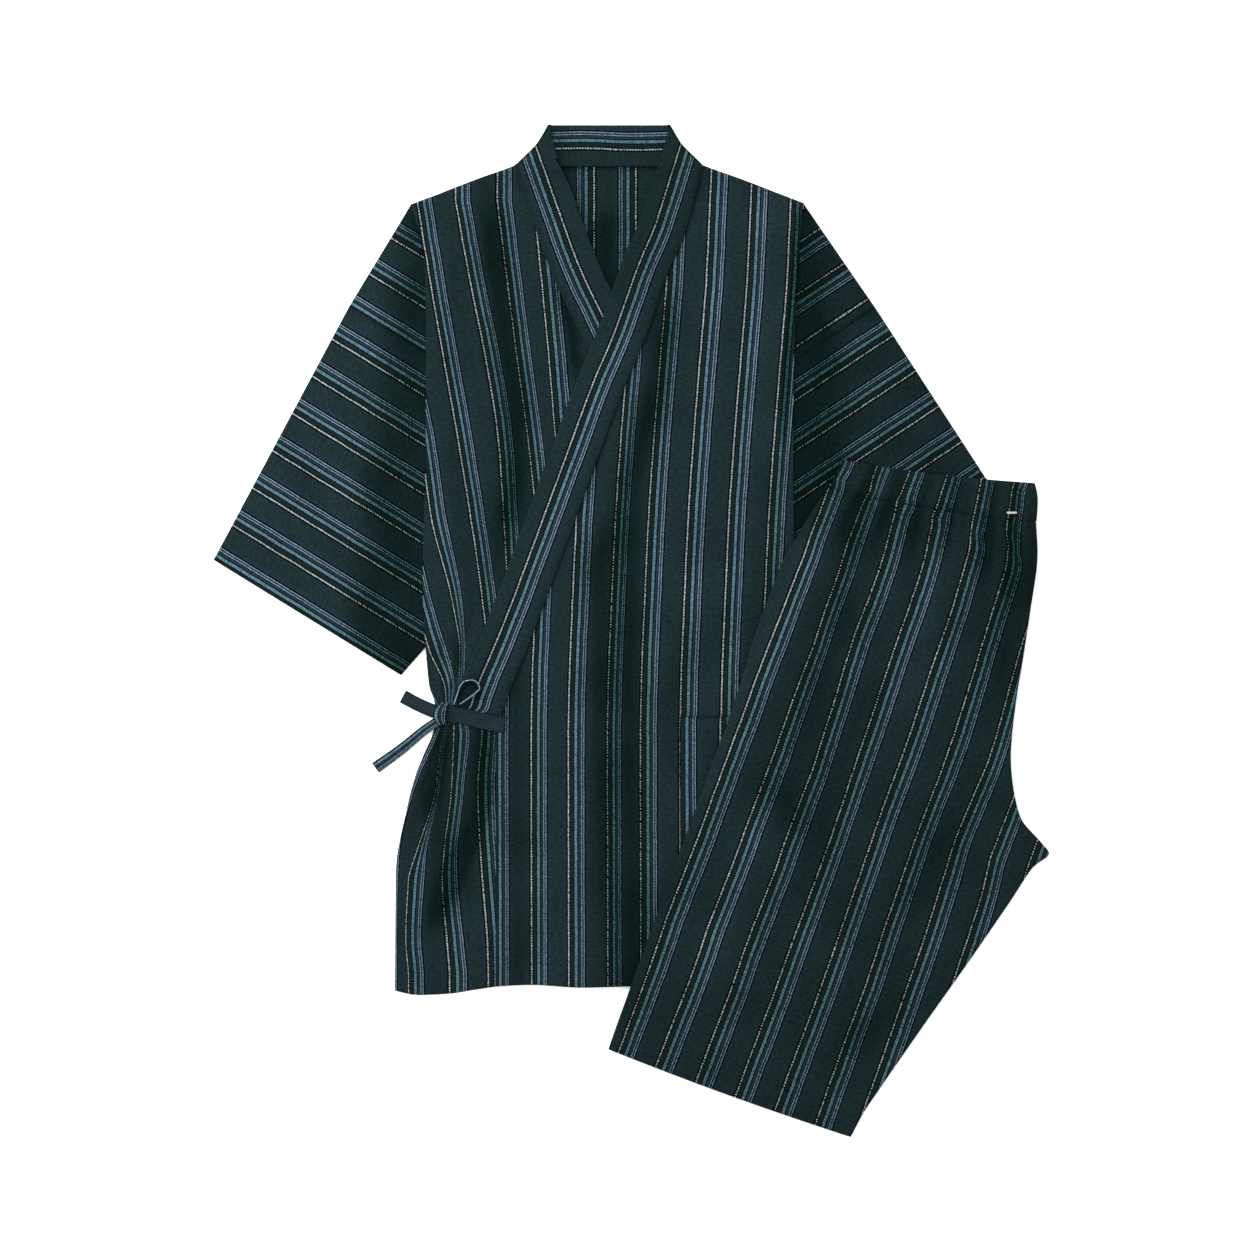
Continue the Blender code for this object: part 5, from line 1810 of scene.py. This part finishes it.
@dataclass
class Trousers:
    """Short trousers folded in half, with their gathered casing and front mark."""

    outline: LegOutline = LegOutline()
    gathers: int = 9
    gather_height: float = 3.2
    gather_fade: float = 75.0
    valleys: Table = (0.0, 0.165, 0.31, 0.45, 0.6, 0.78, 0.9, 1.0)
    valley_depths: Table = (0.5, 1.0, 0.8, 0.7, 0.9, 1.0, 0.9, 0.4)
    pucker: float = 2.0
    pucker_down: float = 8.0
    pucker_reach: float = 6.0
    under_middle: tuple[float, float] = (110.0, 250.0)
    under_inset: float = 3.0
    under_drop: float = 5.0
    under_layers: int = 3
    under_air: float = 0.2
    creases: tuple[Crease, ...] = (
        Crease(((20, -60), (22, -160), (26, -300)), 0.5, 24.0),
        Crease(((300, -246), (220, -262), (150, -300)), 0.8, 12.0, 0.5),
        Crease(((262, -200), (215, -240), (160, -262)), -0.7, 10.0, 0.5),
        Crease(((120, -330), (118, -430), (116, -540)), -0.4, 26.0),
    )
    # Bands of painted shade over the leg; those below zero paint light.
    painted_shades: tuple[Crease, ...] = (
        Crease(((7, 30), (2, -83), (-4, -166), (-7, -247), (-11, -328), (-10, -420)), -0.5, 27.0),
        Crease(((28, 20), (44, -58), (56, -114), (56, -174), (59, -232), (68, -288), (100, -345)),
               0.35, 20.0, 0.2),
        Crease(((91, 40), (117, 11), (128, -65), (141, -140), (137, -221)), -0.42, 24.0),
        Crease(((68, 0), (98, -87), (118, -170)), -0.2, 15.0),
        Crease(((168, 40), (190, 0), (205, -73), (222, -155)), 0.32, 24.0),
        Crease(((251, -196), (226, -256), (217, -310), (205, -375)), 0.3, 34.0),
        Crease(((240, -400), (220, -458), (198, -500)), 0.38, 26.0),
        Crease(((47, -280), (55, -393), (62, -520)), -0.25, 40.0),
        Crease(((65, -189), (107, -273), (128, -374)), 0.2, 26.0),
    )
    stripes: StripeMap = StripeMap(
        (-56, -18.5, 9.5, 37, 74.5, 111.5, 149, 186, 223, 260.5, 307, 362.5, 418.5, 474.5, 558),
        ((-36, -38, -38, -38, -38, -38, -38, -38, -38, -37, -35, -34, -33, -31, -29),
         (2, 0, 1, 1, 2, 2, 2, 2, 3, 3.5, 4.5, 5.5, 5.5, 7.5, 9.5),
         (35.5, 35.5, 35.5, 35.5, 38, 39, 41, 41, 42, 43, 43.5, 44.5, 44.5, 46.5, 46.5),
         (66, 65, 67, 70.5, 72.5, 72.5, 74.5, 78, 80, 82, 82, 83.5, 83.5, 85.5, 86.5),
         (98.5, 100.5, 104, 108, 110.5, 111.5, 113.5, 115.5, 117, 119, 121, 122, 123, 124.5,
          125.5),
         (130, 136, 143, 146, 149, 150.5, 152.5, 154.5, 155.5, 156, 158, 160, 162, 163.5, 164.5),
         (160, 169.5, 180.5, 183, 186, 189, 191.5, 193.5, 194.5, 194.5, 196, 198, 201, 202,
          204.5),
         (190.5, 202.5, 216, 219.5, 221.5, 225, 229, 231.5, 230.5, 229.5, 232.5, 236, 238, 240,
          242),
         (221.5, 234.5, 249, 255, 256.5, 259.5, 262.5, 265, 266, 266, 271.5, 274.5, 277, 279,
          281),
         (251, 266, 282.5, 288.5, 290, 293, 295.5, 298.5, 300.5, 301.5, 307, 312.5, 316, 318,
          320)))
    mark_across: float = 167.5
    mark_down: float = -37.5
    mark_length: float = 8.6

    def gather(self, share: Array, down: Array) -> Array:
        """Height of the gathers across the leg, strongest at the casing's stitches.

        Args:
            share: Shares of the width.
            down: Places down the leg.

        Returns:
            The height at each place.
        """
        centre, depth = np.array(self.valleys), np.array(self.valley_depths)
        away = np.abs(share[..., None] - centre)
        valley = (depth * np.exp(-(away / 0.035) ** 2)).max(axis=-1)
        shallow = 0.35 * (0.5 + 0.5 * np.cos(2 * math.pi * self.gathers * share + 1.1))
        deep = 1.0 - np.maximum(valley, shallow * np.exp(-np.maximum(down, 0.0) / 30.0))
        return self.gather_height * deep * ease(1.0 - down / self.gather_fade)

    def count(self, across: Array, down: Array) -> Array:
        """Repeats of the stripes across the leg, kinked where the casing's stitches pucker it."""
        kink = np.exp(-((down + self.pucker_down) / self.pucker_reach) ** 2)
        return self.stripes.count(across + self.pucker * kink * np.sin(across / 7.3), down)

    def lay(self, room: Workroom) -> dict[str, Laid]:
        """Lay the folded trousers over the jacket.

        Args:
            room: Where they are laid.

        Returns:
            The leg and the waistband where they lie.
        """
        self.lay_under(room)
        return {"leg": self.lay_leg(room), "waist": self.lay_waist(room)}

    def lay_under(self, room: Workroom) -> None:
        """Lay the hidden layers, whose edges show round the leg.

        Args:
            room: Where they are laid.
        """
        share = ease_columns(34)
        across, down, stations = self.outline.plan(False, share, 96)
        top_across, top_down, _ = self.outline.plan(True, share, 4)
        across = np.vstack((top_across[:1], across))
        down = np.vstack((top_down[:1] + self.under_drop, down))
        stations = np.concatenate(([-30.0], stations))
        toward = np.stack((self.under_middle[0] - across, self.under_middle[1] - down), axis=-1)
        toward /= np.maximum(np.linalg.norm(toward, axis=-1, keepdims=True), 1.0)
        across = across + self.under_inset * toward[..., 0]
        down = down + self.under_inset * toward[..., 1]
        cut = Cut("trouser_under", (0.33, 0.59), Held.FOLDED,
                  ("cloth_left_front", "cloth_pocket"), area=0.152,
                  thickness=self.under_layers * (GAUGE.layer + self.under_air), soft=6,
                  rim=Rim.LAYERS)
        room.lay_sheet(cut, Garment.TROUSERS.place(across, -down),
                       woven_with_shade(self.stripes.count(across, down) + 0.55, -down), stations, share)

    def lay_leg(self, room: Workroom) -> Laid:
        """Lay the front half of the right leg.

        Args:
            room: Where it is laid.

        Returns:
            The leg where it lies.
        """
        share = ease_columns(92)
        across, down, stations = self.outline.plan(False, share, 210)
        uneven = 0.35 * ripple_field(across, down, 64.0, 61)
        fold = self.gather(np.broadcast_to(share, across.shape), np.maximum(down + 6.0, 0.0))
        gathered = fold / self.gather_height
        fold = np.maximum(fold + creased(self.creases, across, -down) + uneven, 0.0)
        # Painted shade: a base depth, uneven with the ripples, the bands, and deeper in the
        # gathers' valleys under the casing.
        shade = 0.42 + 0.3 * uneven + creased(self.painted_shades, across, -down)
        shade = shade + 0.75 * (ease(1.0 - down / self.gather_fade) - gathered)
        cut = Cut("trouser_leg", (0.33, 0.59), Held.FOLDED, ("cloth_trouser_under",), area=0.152,
                  finish=Finish.TROUSER, soft=2, rim=Rim.FOLD)
        crown = hem_crown(np.abs(down[-1:] - down), 24.0)
        return room.lay_sheet(cut, Garment.TROUSERS.place(across, -down),
                              woven_with_shade(self.count(across, down), -down, shade), stations, share,
                              fold=fold, crown=crown)

    def lay_waist(self, room: Workroom) -> Laid:
        """Lay the gathered casing above the leg.

        Args:
            room: Where it is laid.

        Returns:
            The casing where it lies.
        """
        share = np.linspace(0.0, 1.0, 96)
        across, down, stations = self.outline.plan(True, share, 20)
        height = (down - down[:1]) / (down[-1:] - down[:1])
        fold = 0.9 * self.gather(np.broadcast_to(share, across.shape), 0.0 * down)
        roll = 0.9 * np.sin(math.pi * np.clip(height, 0.0, 1.0)) ** 0.6
        stitch = 0.8 * np.exp(-((height - 0.9) / 0.07) ** 2)
        cut = Cut("waistband", (0.19, 0.035), Held.GATHERED, ("cloth_trouser_under",),
                  finish=Finish.TROUSER, thickness=GAUGE.band, soft=2, rim=Rim.FOLD, beside=True)
        # Painted shade: deep over the casing, deeper in the gathers' valleys and near its lower
        # edge along the stitches.
        weave = woven_with_shade(self.count(across, down), -down,
                      0.95 - 0.7 * fold / self.gather_height + 0.2 * ease((height - 0.85) / 0.1))
        return room.lay_sheet(cut, Garment.TROUSERS.place(across, -down + GAUGE.seam_gap), weave,
                              stations, share, fold=fold * (0.45 + 0.55 * height),
                              crown=roll - stitch - 0.2)

    def mark_line(self, waist: Laid) -> Array:
        """Line on the casing along which the white front mark is sewn.

        Args:
            waist: The casing where it lies.

        Returns:
            The line's points in millimetres.
        """
        turn = math.radians(Garment.TROUSERS.value[2])
        u = np.linspace(-0.5, 0.5, 9) * self.mark_length
        across, down = self.mark_across + u * math.cos(turn), self.mark_down - u * math.sin(turn)
        plan = Garment.TROUSERS.place(across, -down)
        away = np.linalg.norm(waist.plan[None] - plan[:, None, None], axis=-1)
        nearest = away.reshape(len(plan), -1).argmin(axis=1)
        height = max(waist.high.ravel()[nearest].max(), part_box("front_mark")[0].z / MM)
        return np.column_stack((plan, np.full(len(plan), height + 0.25)))


@dataclass(frozen=True)
class StitchKind:
    """Size and spacing of one kind of stitch.

    Attributes:
        pitch: Distance from one stitch to the next.
        length: Length of a stitch.
        thickness: Thickness of its thread.
        turn: Turn of a stitch out of the row's own direction, in degrees.
        uneven: Share by which lengths differ.
    """

    pitch: float = 3.1
    length: float = 2.3
    thickness: float = 0.42
    turn: float = 0.0
    uneven: float = 0.2


class StitchTree:
    """Geometry Nodes tree that sews stitches along every line of a mesh of edges."""

    INPUTS = {"Pitch": "pitch", "Length": "length", "Thickness": "thickness"}

    def __init__(self) -> None:
        """Build the tree."""
        self.tree = bpy.data.node_groups.new("stitch_row", "GeometryNodeTree")
        face = self.tree.interface
        face.new_socket("Geometry", in_out="INPUT", socket_type="NodeSocketGeometry")
        self.sockets = {}
        for label in (*self.INPUTS, "Turn", "Uneven"):
            socket = face.new_socket(label, in_out="INPUT", socket_type="NodeSocketFloat")
            self.sockets[label] = socket.identifier
        for label, kind in (("Seed", "NodeSocketInt"), ("Thread", "NodeSocketMaterial")):
            socket = face.new_socket(label, in_out="INPUT", socket_type=kind)
            self.sockets[label] = socket.identifier
        face.new_socket("Geometry", in_out="OUTPUT", socket_type="NodeSocketGeometry")
        build = NodeBuilder(self.tree)
        given = build.add("NodeGroupInput").outputs
        curve = build.add("GeometryNodeMeshToCurve", {0: given["Geometry"]})
        points = build.add("GeometryNodeCurveToPoints",
                           {"Curve": curve.outputs[0], "Length": given["Pitch"]}, mode="LENGTH")
        bead = build.add("GeometryNodeMeshIcoSphere", {"Radius": 0.5, "Subdivisions": 1})
        low = build.maths("SUBTRACT", 1.0, given["Uneven"])
        random = build.add("FunctionNodeRandomValue", {2: low, 3: 1.0, "Seed": given["Seed"]},
                           data_type="FLOAT")
        length = build.maths("MULTIPLY", given["Length"], random.outputs[1])
        size = build.add("ShaderNodeCombineXYZ", {0: given["Thickness"], 1: given["Thickness"],
                                                  2: length})
        turn = build.add("ShaderNodeCombineXYZ", {1: given["Turn"]})
        turned = build.add("FunctionNodeRotateRotation", {
            "Rotation": points.outputs["Rotation"], "Rotate By": turn.outputs[0]},
            rotation_space="LOCAL")
        sewn = build.add("GeometryNodeInstanceOnPoints", {
            "Points": points.outputs["Points"], "Instance": bead.outputs["Mesh"],
            "Rotation": turned.outputs[0], "Scale": size.outputs[0]})
        real = build.add("GeometryNodeRealizeInstances", {0: sewn.outputs[0]})
        dyed = build.add("GeometryNodeSetMaterial", {0: real.outputs[0],
                                                     "Material": given["Thread"]})
        build.add("NodeGroupOutput", {0: dyed.outputs[0]})

    def sew(self, name: str, lines: list[Array], kind: StitchKind,
            thread: bpy.types.Material, seed: int) -> bpy.types.Object:
        """Sew stitches along some lines and turn them into one plain mesh.

        Args:
            name: Name of the piece.
            lines: Points of each line in millimetres.
            kind: Kind of stitch.
            thread: Material of the thread.
            seed: Number that picks the unevenness.

        Returns:
            The stitches as a piece.
        """
        points, edges = [], []
        for line in lines:
            first = len(points)
            points += (line * MM).tolist()
            edges += [(first + k, first + k + 1) for k in range(len(line) - 1)]
        mesh = bpy.data.meshes.new(name)
        mesh.from_pydata(points, edges, [])
        row = bpy.data.objects.new(name, mesh)
        bpy.context.scene.collection.objects.link(row)
        modifier = row.modifiers.new("stitches", "NODES")
        modifier.node_group = self.tree
        for label, size in self.INPUTS.items():
            modifier[self.sockets[label]] = getattr(kind, size) * MM
        modifier[self.sockets["Turn"]] = math.radians(kind.turn)
        modifier[self.sockets["Uneven"]] = kind.uneven
        modifier[self.sockets["Seed"]] = seed
        modifier[self.sockets["Thread"]] = thread
        bpy.context.view_layer.update()
        graph = bpy.context.evaluated_depsgraph_get()
        plain = bpy.data.meshes.new_from_object(row.evaluated_get(graph))
        row.modifiers.clear()
        row.data = plain
        plain.name = name
        plain.shade_smooth()
        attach(row, "root")
        LOG.info("%s: %d triangles", name, sum(len(face.vertices) - 2 for face in plain.polygons))
        return row


@dataclass
class Stitching:
    """All rows of stitches, on the pieces where they lie."""

    tree: StitchTree
    materials: dict[Finish, bpy.types.Material]
    seam: StitchKind = StitchKind()
    bar: StitchKind = StitchKind(pitch=0.36, length=2.7, thickness=0.7, turn=90.0)
    jacket_hem: float = 20.0
    cuff_hem: float = 20.5
    pocket_hem: float = 22.5
    leg_hem: float = 23.0

    def level(self, piece: Laid, along: float, start: float = 0.02, end: float = 0.98) -> Array:
        """Line across a piece at one distance along it."""
        share = np.linspace(start, end, 90)
        return piece.trace(np.full(share.shape, along), share)

    def upright(self, piece: Laid, share: float, start: float, end: float) -> Array:
        """Line along a piece at one share of its width."""
        along = np.linspace(start, end, 260)
        return piece.trace(along, np.full(along.shape, share))

    def sew_row(self, name: str, lines: list[Array], seed: int) -> None:
        """Sew one piece's rows with the navy thread."""
        self.tree.sew(name, lines, self.seam, self.materials[Finish.STITCH], seed)

    def sew_jacket(self, fronts: dict[str, Laid], bands: dict[str, Laid], pocket: Laid,
                   sleeves: dict[str, Laid]) -> None:
        """Sew the jacket's hems, bands, cuffs, armholes and pocket.

        Args:
            fronts: The two fronts by side.
            bands: The stretches of the collar band by side.
            pocket: The pocket.
            sleeves: The two sleeves by side.
        """
        hem = OUTLINE.hem_row + self.jacket_hem
        self.sew_row("stitches_fronts", [
            self.level(fronts["right"], hem, 0.36, 0.99),
            self.level(fronts["left"], hem, 0.03, 0.99),
            self.upright(fronts["left"], 0.045, -520.0, OUTLINE.hem_row + 2.0)], 71)
        self.sew_row("stitches_collar", [
            self.upright(bands["right"], 0.06, -2.0, -500.0),
            self.upright(bands["left"], 0.06, -2.0, -502.0)], 72)
        cuffs = [self.level(sleeve, sleeve.stations[-1] - self.cuff_hem, 0.03, 0.97)
                 for sleeve in sleeves.values()]
        armholes = [self.level(sleeve, sleeve.stations[0] + 2.2, 0.02, 0.9)
                    for sleeve in sleeves.values()]
        self.sew_row("stitches_sleeves", cuffs + armholes, 73)
        top, bottom = pocket.stations[0], pocket.stations[-1]
        self.sew_row("stitches_pocket", [
            self.level(pocket, top - self.pocket_hem, 0.02, 0.98),
            self.level(pocket, bottom + 2.0),
            self.upright(pocket, 0.02, top, bottom), self.upright(pocket, 0.98, top, bottom)], 74)

    def sew_trousers(self, trousers: Trousers, laid: dict[str, Laid]) -> None:
        """Sew the trousers' casing, hem and front mark.

        Args:
            trousers: The trousers.
            laid: The leg and the casing where they lie.
        """
        leg, waist = laid["leg"], laid["waist"]
        self.sew_row("stitches_trousers", [
            self.level(waist, waist.stations[-1] - 2.6, 0.01, 0.99),
            self.level(waist, waist.stations[0] + 5.5, 0.03, 0.97),
            self.level(leg, leg.stations[-1] - self.leg_hem, 0.01, 0.99)], 75)
        mark = self.tree.sew("sewn_front_mark", [trousers.mark_line(waist)], self.bar,
                             self.materials[Finish.MARK], 76)
        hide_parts("front_mark")


@dataclass
class Studio:
    """Floor, soft light and the camera straight above."""

    camera_height: float = 3.6
    cloth_height: float = 0.008
    middle_x: float = -0.00093
    key_place: tuple[float, float, float] = (-1.1, 1.1, 1.5)
    key_power: float = 58.0
    key_size: float = 2.2
    sky: float = 1.1
    floor_white: float = 0.94
    floor_glow: float = 0.3
    floor_drop: float = 0.0002

    def build(self) -> None:
        """Build the floor, the lights and the camera."""
        self.lay_floor()
        self.light()
        self.aim_camera()

    def lay_floor(self) -> None:
        """Lay a plain pale floor, whose faint glow keeps it white up to the cloth's edges."""
        shape = bmesh.new()
        bmesh.ops.create_grid(shape, x_segments=8, y_segments=8, size=4.0)
        mesh = bpy.data.meshes.new("floor")
        shape.to_mesh(mesh)
        shape.free()
        floor = bpy.data.objects.new("floor", mesh)
        floor.location.z = -self.floor_drop
        bpy.context.scene.collection.objects.link(floor)
        material = bpy.data.materials.new("pale_floor")
        material.use_nodes = True
        shader = material.node_tree.nodes["Principled BSDF"]
        shader.inputs["Base Color"].default_value = (*(self.floor_white,) * 3, 1.0)
        shader.inputs["Roughness"].default_value = 1.0
        shader.inputs["Specular IOR Level"].default_value = 0.0
        shader.inputs["Emission Color"].default_value = (1.0, 1.0, 1.0, 1.0)
        shader.inputs["Emission Strength"].default_value = self.floor_glow
        mesh.materials.append(material)

    def light(self) -> None:
        """Light the set with one soft key from the upper left and an even sky."""
        scene = bpy.context.scene
        scene.view_settings.view_transform = "Standard"
        world = bpy.data.worlds.new("studio_sky")
        world.use_nodes = True
        sky = world.node_tree.nodes["Background"]
        sky.inputs["Color"].default_value = (1.0, 1.0, 1.0, 1.0)
        sky.inputs["Strength"].default_value = self.sky
        scene.world = world
        lamp = bpy.data.lights.new("key", "AREA")
        lamp.shape, lamp.size, lamp.energy = "DISK", self.key_size, self.key_power
        key = bpy.data.objects.new("key", lamp)
        key.location = self.key_place
        way = -key.location
        key.rotation_euler = way.to_track_quat("-Z", "Y").to_euler()
        scene.collection.objects.link(key)

    def aim_camera(self) -> None:
        """Hang the camera over the middle of the photograph's frame."""
        data = bpy.data.cameras.new("camera")
        data.sensor_fit, data.sensor_width = "HORIZONTAL", 36.0
        data.lens = 36.0 * (self.camera_height - self.cloth_height) / PHOTO_WIDTH
        data.clip_start, data.clip_end = 0.1, 20.0
        camera = bpy.data.objects.new("camera", data)
        camera.location = (self.middle_x, 0.0, self.camera_height)
        bpy.context.scene.collection.objects.link(camera)
        bpy.context.scene.camera = camera


# The pair of depths in each sleeve is its painted shade, at its outer side and added beside the
# body; the wearer's left sleeve is painted darker all over.
RIGHT_SLEEVE = Sleeve("right", (-185, -37), (-242, -131), (-368, -366.5), 31.6, -150.0, 34.5, 33.7,
                      -1.0, (0.05, 0.8))
LEFT_SLEEVE = Sleeve("left", (182.3, -37), (248, -132.5), (389.5, -350.5), 33.6, 152.0, 25.2, 29.8,
                     1.0, (0.5, 0.5), 2.01)


def main() -> None:
    """Build the set in the order in which it is laid out."""
    logging.basicConfig(level=logging.INFO, format="%(name)s: %(message)s")
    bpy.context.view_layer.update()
    groups = {"stripes": stripe_group(), "crinkle": crinkle_group()}
    materials = {finish: finish.value.build(groups) for finish in Finish}
    room = Workroom(materials)
    BackPanel().lay(room)
    band = CollarBand()
    band.lay_neck(room)
    room.pile.settle()
    sleeves = {"right": RIGHT_SLEEVE.lay(room)["sleeve"]}
    room.pile.settle()
    sleeves["left"] = LEFT_SLEEVE.lay(room)["sleeve"]
    fronts = {"right": RightFront().lay(room)}
    bands = {"right": band.lay_side(room, True, RIGHT_SEAM_Y, RIGHT_SEAM_X)}
    left_front = LeftFront()
    fronts["left"] = left_front.lay(room)
    pocket = left_front.lay_pocket(room)
    bands["left"] = band.lay_side(room, False, LEFT_SEAM_Y, LEFT_SEAM_X)
    SideBow().lay(room)
    trousers = Trousers()
    leg_and_waist = trousers.lay(room)
    stitching = Stitching(StitchTree(), materials)
    stitching.sew_jacket(fronts, bands, pocket, sleeves)
    stitching.sew_trousers(trousers, leg_and_waist)
    Studio().build()


if __name__ == "__main__":
    main()
